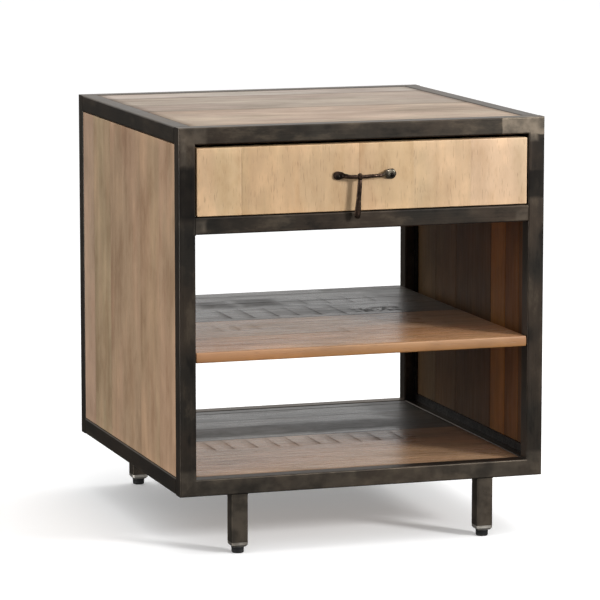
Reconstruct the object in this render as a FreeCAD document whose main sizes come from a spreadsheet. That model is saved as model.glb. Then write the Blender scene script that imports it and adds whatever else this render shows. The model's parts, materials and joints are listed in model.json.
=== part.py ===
"""Side table with one drawer: a welded square-tube steel frame filled with boards.

Row frame: millimetres, +Z up, the front (drawer) side faces -Y, and the origin is
on the floor under the middle of the object's bounding box.
"""
import FreeCAD, Part
import math
import os
import Sketcher

DRIVING_SIZES = [
    # alias, millimetres, what it is
    ("box_width", 570, "outer width of the steel frame"),
    ("box_depth", 570, "outer depth of the steel frame"),
    ("box_height", 545, "height of the steel frame without its legs"),
    ("tube_size", 25, "outside of the square tube"),
    ("tube_wall", 1.5, "wall of the square tube"),
    ("tube_corner", 2, "rounding of the tube's outer corners"),
    ("leg_inset", 79, "side of the frame to the outside of a leg"),
    ("leg_length", 80, "leg with its end plate"),
    ("end_plate", 7, "plate welded into the foot of each leg"),
    ("plate_bevel", 3, "bevel round the underside of an end plate"),
    ("foot_height", 10, "pad of a levelling foot"),
    ("foot_radius", 9.8, "top of a levelling foot's pad"),
    ("foot_base_radius", 8.6, "underside of the pad, before its bevel"),
    ("foot_bevel", 1, "bevel of the pad's rims"),
    ("stud_radius", 4, "threaded stud of a levelling foot"),
    ("stud_length", 26, "stud above its pad"),
    ("stud_gap", 0.05, "clearance of the stud in its thread"),
    ("mid_rail_level", 388, "frame's underside to the middle rails' underside"),
    ("shelf_level", 198, "frame's underside to the shelf's underside"),
    ("shelf_board", 16, "thickness of the shelf"),
    ("shelf_setback", 2, "frame's front and back to the shelf's edges"),
    ("board", 18, "thickness of the top and the base board"),
    ("side_board", 6, "thickness of the side and back panels"),
    ("board_gap", 1, "gap between a board and the tube round it"),
    ("board_recess", 0.5, "tube's outer face to the board's outer face"),
    ("board_edge", 0.8, "rounding of the boards' edges"),
    ("shelf_edge", 2, "rounding of the shelf's edges"),
    ("stop_width", 12, "flat bar that a board rests against"),
    ("stop_bar", 3, "thickness of that flat bar"),
    ("cleat_size", 15, "angle bar under the shelf's ends"),
    ("runner_height", 40, "flat bar that carries a drawer slide"),
    ("front_width", 515, "drawer front"),
    ("front_height", 100, "drawer front"),
    ("front_board", 20, "thickness of the drawer front"),
    ("front_lift", 1.5, "middle rail to the drawer front"),
    ("drawer_board", 12, "thickness of the drawer's box"),
    ("drawer_height", 80, "height of the drawer's box"),
    ("drawer_depth", 450, "depth of the drawer's box"),
    ("drawer_lift", 7, "middle rail to the drawer's box"),
    ("bottom_board", 6, "thickness of the drawer's bottom"),
    ("groove_level", 10, "drawer box's underside to its bottom board"),
    ("groove_depth", 6, "groove that holds the bottom board"),
    ("slide_depth", 12.7, "room that a drawer slide takes at each side"),
    ("slide_height", 45, "cabinet member of a slide"),
    ("slide_length", 450, "closed length of a slide"),
    ("slide_sheet", 1.2, "sheet steel of the slides"),
    ("cabinet_lip", 9.5, "back of the slide to the cabinet member's lips"),
    ("middle_rear", 2, "back of the slide to the middle member's rear lips"),
    ("middle_web", 4.3, "back of the slide to the middle member's web"),
    ("middle_lip", 9.1, "back of the slide to the middle member's front lips"),
    ("middle_height", 37.8, "middle member of a slide"),
    ("drawer_lip", 6.6, "back of the slide to the drawer member's lips"),
    ("drawer_member_height", 26, "drawer member of a slide"),
    ("slide_setback", 3, "drawer front to the slides' front ends"),
    ("pull_width", 98, "over the flattened ends of the forged pull"),
    ("pull_reach", 12, "frame's front to the pull's bar"),
    ("pull_bar", 3, "radius of the pull's bar"),
    ("pull_rise", 1.5, "middle of the drawer front to the pull's bar"),
    ("paddle_radius", 8, "flattened ends of the pull"),
    ("paddle_board", 3, "thickness of the flattened ends"),
    ("nail_offset", 1, "middle of a flattened end to its nail"),
    ("eye_offset", 11, "middle of the pull to the eye of the drop"),
    ("eye_radius", 5.5, "outside of the drop's eye"),
    ("eye_width", 5, "length of the drop's eye along the bar"),
    ("eye_gap", 0.08, "clearance of the eye round the bar"),
    ("drop_length", 62, "bar to the tip of the drop"),
    ("drop_radius", 3.4, "rod of the drop"),
]

FASTENERS = {
    # radius and height of the head, radius and length of the shank
    "board_screw": (3.5, 2.4, 1.8, 14),
    "panel_screw": (3.2, 2, 1.6, 7),
    "slide_screw": (3.2, 1.8, 1.8, 6),
    "drawer_screw": (3.4, 2, 1.8, 22),
    "pull_nail": (3.4, 1.6, 1.4, 16),
}
FASTENER_SIZES = ("head_radius", "head_height", "shank_radius", "shank_length")

# Places of the screws, as shares of the length or height that a row of them spans.
SIDE_PANEL_LEVELS = (0.1, 0.5, 0.9)
BACK_PANEL_LEVELS = (0.25, 0.75)
SLIDE_SCREW_ROWS = (0.12, 0.5, 0.88)
BOX_CORNER_LEVELS = (0.73, 0.9)
FRONT_SCREW_LEVELS = (0.4, 0.8)

doc = FreeCAD.newDocument("SideTable")
sheet = doc.addObject("Spreadsheet::Sheet", "Sizes")
fastener_rows = [
    (f"{fastener}_{size}", number, f"{size} of a {fastener}".replace("_", " "))
    for fastener, numbers in FASTENERS.items()
    for size, number in zip(FASTENER_SIZES, numbers)
]
for line, (alias, number, meaning) in enumerate(DRIVING_SIZES + fastener_rows, start=1):
    sheet.set(f"A{line}", meaning)
    sheet.set(f"B{line}", str(number))
    sheet.setAlias(f"B{line}", alias)
doc.recompute()

# Planes and lengths of the object, as expressions in the sheet's cells.
HALF_WIDTH = "(Sizes.box_width / 2)"
REACH = "(Sizes.pull_reach + Sizes.eye_radius)"
FRONT = f"(-Sizes.box_depth / 2 + {REACH} / 2)"
BACK = f"(Sizes.box_depth / 2 + {REACH} / 2)"
BASE = "(Sizes.leg_length + Sizes.foot_height)"
TOP = f"({BASE} + Sizes.box_height)"
TUBE = "Sizes.tube_size"
BAY_HALF = f"({HALF_WIDTH} - {TUBE})"
MID_RAIL_TOP = f"({BASE} + Sizes.mid_rail_level + {TUBE})"
FRONT_BACK = f"({FRONT} + Sizes.board_recess + Sizes.front_board)"
DRAWER_BASE = f"({MID_RAIL_TOP} + Sizes.drawer_lift)"
DRAWER_HALF = f"({BAY_HALF} - Sizes.slide_depth)"
DRAWER_BACK = f"({FRONT_BACK} + Sizes.drawer_depth)"
GROOVE_BASE = f"({DRAWER_BASE} + Sizes.groove_level)"
SLIDE_LEVEL = f"({DRAWER_BASE} + Sizes.drawer_height / 2)"
SLIDE_FRONT = f"({FRONT_BACK} + Sizes.slide_setback)"
PULL_LEVEL = f"({MID_RAIL_TOP} + Sizes.front_lift + Sizes.front_height / 2 + Sizes.pull_rise)"
PULL_BAR = f"({FRONT} - Sizes.pull_reach)"

X, Y, Z = FreeCAD.Vector(1, 0, 0), FreeCAD.Vector(0, 1, 0), FreeCAD.Vector(0, 0, 1)
SIDES = {"left": -1, "right": 1}
ENDS = {"front": FRONT, "back": f"({BACK} - {TUBE})"}
HAND_IN = []


def value(expression):
    """The number that an expression in the sheet's cells stands for."""
    return float(sheet.evalExpression(expression))


def bind(thing, **sizes):
    """Bind a thing's properties to expressions in the sheet's cells."""
    for name, expression in sizes.items():
        thing.setExpression(name, expression)


def place(part, x, y, z, along=Z, inward=X):
    """Turn a part's own +Z to `along` and its +X to `inward`, and put its origin at x, y, z."""
    turn = FreeCAD.Rotation(inward, along.cross(inward), along, "ZXY")
    part.Placement = FreeCAD.Placement(FreeCAD.Vector(), turn)
    for axis, expression in zip("xyz", (x, y, z)):
        part.setExpression(f"Placement.Base.{axis}", expression)


def hand_in(part, name):
    """Label a finished sub-part and put it on the list that is written out."""
    part.Label = name
    HAND_IN.append(part)
    return part


def sketch_on(body, plane, name):
    """A new sketch on one of a body's own origin planes."""
    sketch = body.newObject("Sketcher::SketchObject", name)
    support = next(f for f in body.Origin.OriginFeatures if f.Role == plane)
    sketch.AttachmentSupport = (support, "")
    sketch.MapMode = "FlatFace"
    return sketch


def draw_polygon(sketch, corners):
    """Draw a closed outline whose corners are pairs of bound expressions."""
    first = sketch.GeometryCount
    spots = [FreeCAD.Vector(value(x), value(y), 0) for x, y in corners]
    count = len(corners)
    for i in range(count):
        sketch.addGeometry(Part.LineSegment(spots[i], spots[(i + 1) % count]))
    for i in range(count):
        following = first + (i + 1) % count
        sketch.addConstraint(Sketcher.Constraint("Coincident", first + i, 2, following, 1))
    for i, (corner, spot) in enumerate(zip(corners, spots)):
        for kind, expression, number in zip(("DistanceX", "DistanceY"), corner, (spot.x, spot.y)):
            index = sketch.addConstraint(Sketcher.Constraint(kind, -1, 1, first + i, 1, number))
            sketch.setExpression(f"Constraints[{index}]", expression)


def draw_circle(sketch, radius):
    """Draw a circle about the sketch's origin."""
    circle = sketch.addGeometry(Part.Circle(FreeCAD.Vector(), Z, value(radius)))
    sketch.addConstraint(Sketcher.Constraint("Coincident", circle, 3, -1, 1))
    index = sketch.addConstraint(Sketcher.Constraint("Radius", circle, value(radius)))
    sketch.setExpression(f"Constraints[{index}]", radius)


def rectangle(half_width, half_height):
    """Corners of a rectangle about the origin."""
    return [
        (f"-{half_width}", f"-{half_height}"),
        (half_width, f"-{half_height}"),
        (half_width, half_height),
        (f"-{half_width}", half_height),
    ]


def clipped_square(half, clip):
    """Corners of a square about the origin whose own corners are cut off."""
    inner = f"({half} - {clip})"
    quarter = [(half, inner), (inner, half)]
    corners = []
    for _ in range(4):
        corners += quarter
        quarter = [(f"-({y})", x) for x, y in quarter]
    return corners


def pad(body, sketch, length, symmetric=False):
    """Extrude a sketch, to one side or evenly to both."""
    feature = body.newObject("PartDesign::Pad", f"{body.Name}_pad")
    feature.Profile = sketch
    if symmetric:
        feature.SideType = "Symmetric"
    bind(feature, Length=length)
    doc.recompute()
    return feature


def bar(name, outline, length):
    """A bar of constant section along its own +Z."""
    body = doc.addObject("PartDesign::Body", name)
    sketch = sketch_on(body, "XY_Plane", f"{name}_section")
    draw_polygon(sketch, outline)
    pad(body, sketch, length)
    return hand_in(body, name)


def board(name, x_span, y_span, z_span, edge="Sizes.board_edge"):
    """A board between three pairs of planes, with its edges eased."""
    body = doc.addObject("PartDesign::Body", name)
    block = body.newObject("PartDesign::AdditiveBox", f"{name}_block")
    spans = [f"({high}) - ({low})" for low, high in (x_span, y_span, z_span)]
    bind(block, Length=spans[0], Width=spans[1], Height=spans[2])
    doc.recompute()
    easing = body.newObject("PartDesign::Fillet", f"{name}_easing")
    easing.Base = (block, [""])
    easing.UseAllEdges = True
    bind(easing, Radius=edge)
    place(body, x_span[0], y_span[0], z_span[0])
    return hand_in(body, name)


def tube(name, length, mitred=False):
    """A square tube along its own +Z; a mitred one is shorter on its +X side at both ends."""
    half = f"({TUBE} / 2)"
    body = doc.addObject("PartDesign::Body", name)
    section = sketch_on(body, "XY_Plane", f"{name}_section")
    draw_polygon(section, rectangle(half, half))
    inside = f"({half} - Sizes.tube_wall)"
    draw_polygon(section, rectangle(inside, inside))
    solid = pad(body, section, length)
    rounding = body.newObject("PartDesign::Fillet", f"{name}_corners")
    rounding.Base = (solid, outer_corner_edges(solid.Shape, value(half)))
    bind(rounding, Radius="Sizes.tube_corner")
    doc.recompute()
    if mitred:
        cut_mitres(body, name, half, length)
    return hand_in(body, name)


def outer_corner_edges(shape, half):
    """Names of the long edges at the four outer corners of a square section."""
    names = []
    for number, edge in enumerate(shape.Edges, start=1):
        low, high = edge.Vertexes[0].Point, edge.Vertexes[-1].Point
        upright = abs(low.x - high.x) < 1e-6 and abs(low.y - high.y) < 1e-6
        if upright and min(abs(low.x), abs(low.y)) > half - 1e-6:
            names.append(f"Edge{number}")
    return names


def underside_rim_edges(shape, clear_of):
    """Names of the edges at z = 0 that lie further from the middle than a given radius."""
    names = []
    for number, edge in enumerate(shape.Edges, start=1):
        middle = edge.CenterOfMass
        flat = edge.BoundBox.ZMax < 1e-6
        if flat and math.hypot(middle.x, middle.y) > clear_of:
            names.append(f"Edge{number}")
    return names


def cut_mitres(body, name, half, length):
    """Cut both ends of a tube at 45 degrees, leaving its -X side whole."""
    before = body.Shape.Volume
    sketch = sketch_on(body, "XZ_Plane", f"{name}_mitres")
    draw_polygon(sketch, [(f"-{half}", "0"), (half, "0"), (half, TUBE)])
    draw_polygon(sketch, [(f"-{half}", length), (half, length), (half, f"{length} - {TUBE}")])
    pocket = body.newObject("PartDesign::Pocket", f"{name}_mitre_cut")
    pocket.Profile = sketch
    pocket.SideType = "Symmetric"
    bind(pocket, Length=f"2 * {TUBE}")
    doc.recompute()
    if body.Shape.Volume >= before:
        raise RuntimeError(f"{name}: the mitres cut nothing")


def group(name, parts):
    """Several like pieces in one sub-part, each still its own solid."""
    compound = doc.addObject("Part::Compound", name)
    compound.Links = parts
    return hand_in(compound, name)


def copies(original, name, spots, along=Z, inward=X):
    """Linked copies of a piece at several places, as a group."""
    links = []
    for number, (x, y, z) in enumerate(spots, start=1):
        link = doc.addObject("App::Link", f"{name}_{number}")
        link.LinkedObject = original
        place(link, x, y, z, along, inward)
        links.append(link)
    return links


def make_end_frames():
    """The mitred tube frames at the front and the back, each of two posts and two rails."""
    half = f"({TUBE} / 2)"
    for end, start in ENDS.items():
        middle = f"({start} + {half})"
        for side, sign in SIDES.items():
            post = tube(f"post_{end}_{side}", "Sizes.box_height", mitred=True)
            place(post, f"{sign} * ({HALF_WIDTH} - {half})", middle, BASE, Z, X * -sign)
        bottom = tube(f"{end}_bottom_rail", "Sizes.box_width", mitred=True)
        place(bottom, f"-{HALF_WIDTH}", middle, f"{BASE} + {half}", X, Z)
        top = tube(f"{end}_top_rail", "Sizes.box_width", mitred=True)
        place(top, f"-{HALF_WIDTH}", middle, f"{TOP} - {half}", X, Z * -1)
        rail = tube(f"{end}_middle_rail", f"2 * {BAY_HALF}")
        place(rail, f"-{BAY_HALF}", middle, f"{MID_RAIL_TOP} - {half}", X, Z)


def make_side_rails():
    """The tubes that join the front frame to the back frame."""
    half = f"({TUBE} / 2)"
    for side, sign in SIDES.items():
        for level, z in (("bottom", f"{BASE} + {half}"), ("top", f"{TOP} - {half}")):
            rail = tube(f"{side}_{level}_rail", f"Sizes.box_depth - 2 * {TUBE}")
            place(rail, f"{sign} * ({HALF_WIDTH} - {half})", f"{FRONT} + {TUBE}", z, Y, Z)


def leg_spots(z):
    """The middle of each leg at one level, by name."""
    half = f"({TUBE} / 2)"
    return {
        f"{end}_{side}": (f"{sign} * ({HALF_WIDTH} - Sizes.leg_inset - {half})",
                          f"{start} + {half}", z)
        for end, start in ENDS.items()
        for side, sign in SIDES.items()
    }


def make_legs():
    """Four short tube legs, and the tapped plates that close them."""
    plate_top = "Sizes.foot_height + Sizes.end_plate"
    for corner, spot in leg_spots(plate_top).items():
        leg = tube(f"leg_{corner}", "Sizes.leg_length - Sizes.end_plate")
        place(leg, *spot)
    plate = doc.addObject("PartDesign::Body", "end_plate_pattern")
    section = sketch_on(plate, "XY_Plane", "end_plate_section")
    draw_polygon(section, clipped_square(f"({TUBE} / 2)", "Sizes.tube_corner"))
    draw_circle(section, "Sizes.stud_radius + Sizes.stud_gap")
    solid = pad(plate, section, "Sizes.end_plate")
    bevel = plate.newObject("PartDesign::Chamfer", "end_plate_bevel")
    bevel.Base = (solid, underside_rim_edges(solid.Shape, value("2 * Sizes.stud_radius")))
    bind(bevel, Size="Sizes.plate_bevel")
    doc.recompute()
    spots = leg_spots("Sizes.foot_height").values()
    group("leg_end_plates", copies(plate, "leg_end_plate", spots))


def make_feet():
    """Levelling feet: a round pad turned as one piece with its stud."""
    for corner, spot in leg_spots("0").items():
        name = f"levelling_foot_{corner}"
        body = doc.addObject("PartDesign::Body", name)
        sketch = sketch_on(body, "XZ_Plane", f"{name}_outline")
        bevel = "Sizes.foot_bevel"
        stud_top = "Sizes.foot_height + Sizes.stud_length"
        draw_polygon(sketch, [
            ("0", "0"),
            (f"Sizes.foot_base_radius - {bevel}", "0"),
            ("Sizes.foot_base_radius", bevel),
            ("Sizes.foot_radius", f"Sizes.foot_height - {bevel}"),
            (f"Sizes.foot_radius - {bevel}", "Sizes.foot_height"),
            ("Sizes.stud_radius", "Sizes.foot_height"),
            ("Sizes.stud_radius", stud_top),
            ("0", stud_top),
        ])
        turning = body.newObject("PartDesign::Revolution", f"{name}_turning")
        turning.Profile = sketch
        turning.ReferenceAxis = (sketch, ["V_Axis"])
        turning.Angle = 360
        place(body, *spot)
        hand_in(body, name)


def make_boards():
    """The top, the base, the shelf, and the thin side and back panels."""
    gap, recess = "Sizes.board_gap", "Sizes.board_recess"
    inner_x = (f"-{BAY_HALF} + {gap}", f"{BAY_HALF} - {gap}")
    inner_y = (f"{FRONT} + {TUBE} + {gap}", f"{BACK} - {TUBE} - {gap}")
    board("top_board", inner_x, inner_y, (f"{TOP} - {recess} - Sizes.board", f"{TOP} - {recess}"))
    base_top = f"{BASE} + {TUBE} - {recess}"
    board("base_board", inner_x, inner_y, (f"{base_top} - Sizes.board", base_top))
    shelf_y = (f"{FRONT} + Sizes.shelf_setback", f"{BACK} - Sizes.shelf_setback")
    shelf_x = (f"-{BAY_HALF} + {recess}", f"{BAY_HALF} - {recess}")
    shelf_base = f"{BASE} + Sizes.shelf_level"
    shelf_z = (shelf_base, f"{shelf_base} + Sizes.shelf_board")
    board("shelf", shelf_x, shelf_y, shelf_z, "Sizes.shelf_edge")
    outer, inner = f"{HALF_WIDTH} - {recess}", f"{HALF_WIDTH} - {recess} - Sizes.side_board"
    panel_z = (f"{BASE} + {TUBE} + {gap}", f"{TOP} - {TUBE} - {gap}")
    board("left_side_panel", (f"-({outer})", f"-({inner})"), inner_y, panel_z)
    board("right_side_panel", (inner, outer), inner_y, panel_z)
    back_y = (f"{BACK} - {recess} - Sizes.side_board", f"{BACK} - {recess}")
    board("back_panel", inner_x, back_y, (f"{MID_RAIL_TOP} + {gap}", f"{TOP} - {TUBE} - {gap}"))


def flat_bar(name, x_span, y_span, z_span):
    """A plain length of flat bar between three pairs of planes."""
    block = doc.addObject("Part::Box", name)
    spans = [f"({high}) - ({low})" for low, high in (x_span, y_span, z_span)]
    bind(block, Length=spans[0], Width=spans[1], Height=spans[2])
    place(block, x_span[0], y_span[0], z_span[0])
    return block


def make_stops():
    """Flat bars welded inside the frame, which the boards rest against."""
    width, recess = "Sizes.stop_width", "Sizes.board_recess"
    front, back = f"{FRONT} + {TUBE}", f"{BACK} - {TUBE}"
    left, right = f"-{BAY_HALF}", BAY_HALF
    board_base = {
        "top": f"{TOP} - {recess} - Sizes.board",
        "base": f"{BASE} + {TUBE} - {recess} - Sizes.board",
    }
    for level, high in board_base.items():
        z_span = (f"{high} - Sizes.stop_bar", high)
        ring = [
            flat_bar(f"{level}_stop_front", (left, right), (front, f"{front} + {width}"), z_span),
            flat_bar(f"{level}_stop_back", (left, right), (f"{back} - {width}", back), z_span),
            flat_bar(f"{level}_stop_left", (left, f"{left} + {width}"),
                     (f"{front} + {width}", f"{back} - {width}"), z_span),
            flat_bar(f"{level}_stop_right", (f"{right} - {width}", right),
                     (f"{front} + {width}", f"{back} - {width}"), z_span),
        ]
        group(f"{level}_board_stops", ring)
    low, high = f"{BASE} + {TUBE}", f"{TOP} - {TUBE}"
    for side, sign in SIDES.items():
        outer = f"({HALF_WIDTH} - {recess} - Sizes.side_board)"
        faces = (outer, f"{outer} - Sizes.stop_bar")
        x_span = (f"-{faces[0]}", f"-({faces[1]})") if sign < 0 else (faces[1], faces[0])
        ring = [
            flat_bar(f"{side}_stop_front", x_span, (front, f"{front} + {width}"), (low, high)),
            flat_bar(f"{side}_stop_back", x_span, (f"{back} - {width}", back), (low, high)),
            flat_bar(f"{side}_stop_bottom", x_span, (f"{front} + {width}", f"{back} - {width}"),
                     (low, f"{low} + {width}")),
            flat_bar(f"{side}_stop_top", x_span, (f"{front} + {width}", f"{back} - {width}"),
                     (f"{high} - {width}", high)),
        ]
        group(f"{side}_panel_stops", ring)
    panel_front = f"({BACK} - {recess} - Sizes.side_board)"
    y_span = (f"{panel_front} - Sizes.stop_bar", panel_front)
    pair = [
        flat_bar("back_stop_left", (left, f"{left} + {width}"), y_span, (MID_RAIL_TOP, high)),
        flat_bar("back_stop_right", (f"{right} - {width}", right), y_span, (MID_RAIL_TOP, high)),
    ]
    group("back_panel_stops", pair)


def make_shelf_cleats():
    """Angle bars between the posts: one leg under the shelf, one up beside its end."""
    size, sheet_thick = "Sizes.cleat_size", "Sizes.stop_bar"
    outline = [
        ("0", "0"),
        (f"{size} + {sheet_thick}", "0"),
        (f"{size} + {sheet_thick}", sheet_thick),
        (sheet_thick, sheet_thick),
        (sheet_thick, size),
        ("0", size),
    ]
    length = f"Sizes.box_depth - 2 * {TUBE}"
    level = f"{BASE} + Sizes.shelf_level - {sheet_thick}"
    outside = f"({BAY_HALF} + {sheet_thick})"
    left = bar("left_shelf_cleat", outline, length)
    place(left, f"-{outside}", f"{BACK} - {TUBE}", level, Y * -1, X)
    mirrored = [(f"-({x})", y) for x, y in reversed(outline)]
    right = bar("right_shelf_cleat", mirrored, length)
    place(right, outside, f"{BACK} - {TUBE}", level, Y * -1, X)


def make_runner_bars():
    """Flat bars between the posts that carry the drawer slides."""
    y_span = (f"{FRONT} + {TUBE}", f"{BACK} - {TUBE}")
    half = "Sizes.runner_height / 2"
    z_span = (f"{SLIDE_LEVEL} - {half}", f"{SLIDE_LEVEL} + {half}")
    outside = f"({BAY_HALF} + Sizes.stop_bar)"
    for side, x_span in {"left": (f"-{outside}", f"-{BAY_HALF}"), "right": (BAY_HALF, outside)}.items():
        name = f"{side}_runner_bar"
        hand_in(flat_bar(name, x_span, y_span, z_span), name)


def channel(reach_from, reach_to, half_height, web_at):
    """Section of a channel: flanges from one depth to another, and its web at web_at."""
    thick = "Sizes.slide_sheet"
    inside = f"{half_height} - {thick}"
    web_low, web_high = web_at, f"{web_at} + {thick}"
    return [
        (reach_from, f"-({half_height})"),
        (reach_to, f"-({half_height})"),
        (reach_to, f"-({inside})"),
        (web_high, f"-({inside})"),
        (web_high, inside),
        (reach_to, inside),
        (reach_to, half_height),
        (reach_from, half_height),
        (reach_from, inside),
        (web_low, inside),
        (web_low, f"-({inside})"),
        (reach_from, f"-({inside})"),
    ]


def open_channel(web_from, web_to, tip, half_height):
    """Section of a channel whose web lies at one edge of its flanges."""
    inside = f"{half_height} - Sizes.slide_sheet"
    return [
        (web_from, f"-({half_height})"),
        (tip, f"-({half_height})"),
        (tip, f"-({inside})"),
        (web_to, f"-({inside})"),
        (web_to, inside),
        (tip, inside),
        (tip, half_height),
        (web_from, half_height),
    ]


def make_slides():
    """Three-part side-mounted drawer slides, each member a channel inside the next."""
    thick, depth = "Sizes.slide_sheet", "Sizes.slide_depth"
    middle = channel("Sizes.middle_rear", "Sizes.middle_lip", "Sizes.middle_height / 2", "Sizes.middle_web")
    drawer_half = "Sizes.drawer_member_height / 2"
    sections = {
        "cabinet": open_channel("0", thick, "Sizes.cabinet_lip", "Sizes.slide_height / 2"),
        "middle": middle,
        "drawer": open_channel(depth, f"{depth} - {thick}", "Sizes.drawer_lip", drawer_half),
    }
    for member, outline in sections.items():
        left = bar(f"left_slide_{member}_member", outline, "Sizes.slide_length")
        place(left, f"-{BAY_HALF}", f"{SLIDE_FRONT} + Sizes.slide_length", SLIDE_LEVEL, Y * -1, X)
        right = bar(f"right_slide_{member}_member", outline, "Sizes.slide_length")
        place(right, BAY_HALF, SLIDE_FRONT, SLIDE_LEVEL, Y, X * -1)


def cut_groove(body, name, base, size):
    """Take a straight groove out of a board: its low corner and its size are in the board's own frame."""
    before = body.Shape.Volume
    groove = body.newObject("PartDesign::SubtractiveBox", f"{name}_groove")
    bind(groove, Length=size[0], Width=size[1], Height=size[2])
    for axis, expression in zip("xyz", base):
        groove.setExpression(f"Placement.Base.{axis}", expression)
    doc.recompute()
    if body.Shape.Volume >= before:
        raise RuntimeError(f"{name}: the groove cuts nothing")


def make_drawer():
    """The drawer: a grooved box behind a thick front."""
    thick, groove = "Sizes.drawer_board", "Sizes.groove_depth"
    base, top = DRAWER_BASE, f"{DRAWER_BASE} + Sizes.drawer_height"
    front_y = (f"{FRONT} + Sizes.board_recess", FRONT_BACK)
    front_base = f"{MID_RAIL_TOP} + Sizes.front_lift"
    front_x = ("-Sizes.front_width / 2", "Sizes.front_width / 2")
    board("drawer_front", front_x, front_y, (front_base, f"{front_base} + Sizes.front_height"))
    box_y = (FRONT_BACK, DRAWER_BACK)
    outer, inner = DRAWER_HALF, f"{DRAWER_HALF} - {thick}"
    spans = {"left": (f"-{outer}", f"-({inner})"), "right": (inner, outer)}
    for side, x_span in spans.items():
        panel = board(f"drawer_{side}_side", x_span, box_y, (base, top))
        start = f"{thick} - {groove}" if side == "left" else "0"
        cut_groove(panel, f"drawer_{side}_side", (start, "0", "Sizes.groove_level"),
                   (groove, "Sizes.drawer_depth", "Sizes.bottom_board"))
    across = (f"-({inner})", inner)
    box_front = board("drawer_box_front", across, (FRONT_BACK, f"{FRONT_BACK} + {thick}"), (base, top))
    cut_groove(box_front, "drawer_box_front", ("0", f"{thick} - {groove}", "Sizes.groove_level"),
               (f"2 * ({inner})", groove, "Sizes.bottom_board"))
    bottom_top = f"{GROOVE_BASE} + Sizes.bottom_board"
    board("drawer_box_back", across, (f"{DRAWER_BACK} - {thick}", DRAWER_BACK), (bottom_top, top))
    reach = f"{inner} + {groove}"
    bottom_y = (f"{FRONT_BACK} + {thick} - {groove}", DRAWER_BACK)
    bottom = flat_bar("drawer_bottom", (f"-({reach})", reach), bottom_y, (GROOVE_BASE, bottom_top))
    hand_in(bottom, "drawer_bottom")


def make_pull():
    """The forged pull: a round bar that stands off the drawer front on two flattened ends."""
    half_bar = "(Sizes.pull_width / 2 - 2 * Sizes.paddle_radius - Sizes.pull_bar)"
    stand = "(Sizes.pull_reach + Sizes.board_recess)"
    body = doc.addObject("PartDesign::Body", "pull_bar")
    section = sketch_on(body, "YZ_Plane", "pull_bar_section")
    draw_circle(section, "Sizes.pull_bar")
    pad(body, section, f"2 * {half_bar} + 2 * Sizes.pull_bar", symmetric=True)
    for sign in SIDES.values():
        neck = sketch_on(body, "XY_Plane", f"pull_bar_neck_{sign + 1}")
        tip = "(Sizes.pull_width / 2 - Sizes.paddle_radius)"
        corners = [
            (half_bar, "-Sizes.pull_bar"),
            (f"{half_bar} + Sizes.pull_bar", "-Sizes.pull_bar"),
            (tip, f"{stand} - Sizes.paddle_board"),
            (tip, stand),
            (f"{tip} - Sizes.paddle_radius", stand),
            (half_bar, "Sizes.pull_bar"),
        ]
        draw_polygon(neck, [(f"{sign} * ({x})", y) for x, y in corners])
        pad(body, neck, "2 * Sizes.pull_bar", symmetric=True)
    for sign in SIDES.values():
        paddle = body.newObject("PartDesign::AdditiveCylinder", f"pull_paddle_{sign + 1}")
        bind(paddle, Radius="Sizes.paddle_radius", Height="Sizes.paddle_board")
        centre = f"{sign} * (Sizes.pull_width / 2 - Sizes.paddle_radius)"
        place(paddle, centre, stand, "0", Y * -1, X)
    doc.recompute()
    place(body, "0", PULL_BAR, PULL_LEVEL)
    hand_in(body, "pull_bar")


def make_drop():
    """The drop that hangs from the pull's bar by its eye."""
    body = doc.addObject("PartDesign::Body", "drop_pull")
    eye = sketch_on(body, "YZ_Plane", "drop_eye")
    draw_circle(eye, "Sizes.eye_radius")
    pad(body, eye, "Sizes.eye_width", symmetric=True)
    rod = body.newObject("PartDesign::AdditiveCylinder", "drop_rod")
    bind(rod, Radius="Sizes.drop_radius", Height="Sizes.drop_length - Sizes.pull_bar - Sizes.eye_gap")
    rod.setExpression("Placement.Base.z", "-Sizes.drop_length")
    doc.recompute()
    before = body.Shape.Volume
    bore = sketch_on(body, "YZ_Plane", "drop_bore")
    draw_circle(bore, "Sizes.pull_bar + Sizes.eye_gap")
    pocket = body.newObject("PartDesign::Pocket", "drop_bore_cut")
    pocket.Profile = bore
    pocket.SideType = "Symmetric"
    bind(pocket, Length="2 * Sizes.eye_width")
    doc.recompute()
    if body.Shape.Volume >= before:
        raise RuntimeError("drop_pull: the eye has no bore")
    place(body, "-Sizes.eye_offset", PULL_BAR, PULL_LEVEL)
    hand_in(body, "drop_pull")


def fastener(name):
    """A screw or nail: its head stands on the XY plane and its shank goes down."""
    head = doc.addObject("Part::Cylinder", f"{name}_head")
    bind(head, Radius=f"Sizes.{name}_head_radius", Height=f"Sizes.{name}_head_height")
    shank = doc.addObject("Part::Cylinder", f"{name}_shank")
    bind(shank, Radius=f"Sizes.{name}_shank_radius", Height=f"Sizes.{name}_shank_length")
    shank.setExpression("Placement.Base.z", f"-Sizes.{name}_shank_length")
    joined = doc.addObject("Part::Fuse", name)
    joined.Base, joined.Tool = head, shank
    return joined


def shares_of(start, length, shares):
    """Places at given shares of a length, from its start."""
    return [f"{start} + {share} * ({length})" for share in shares]


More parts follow.
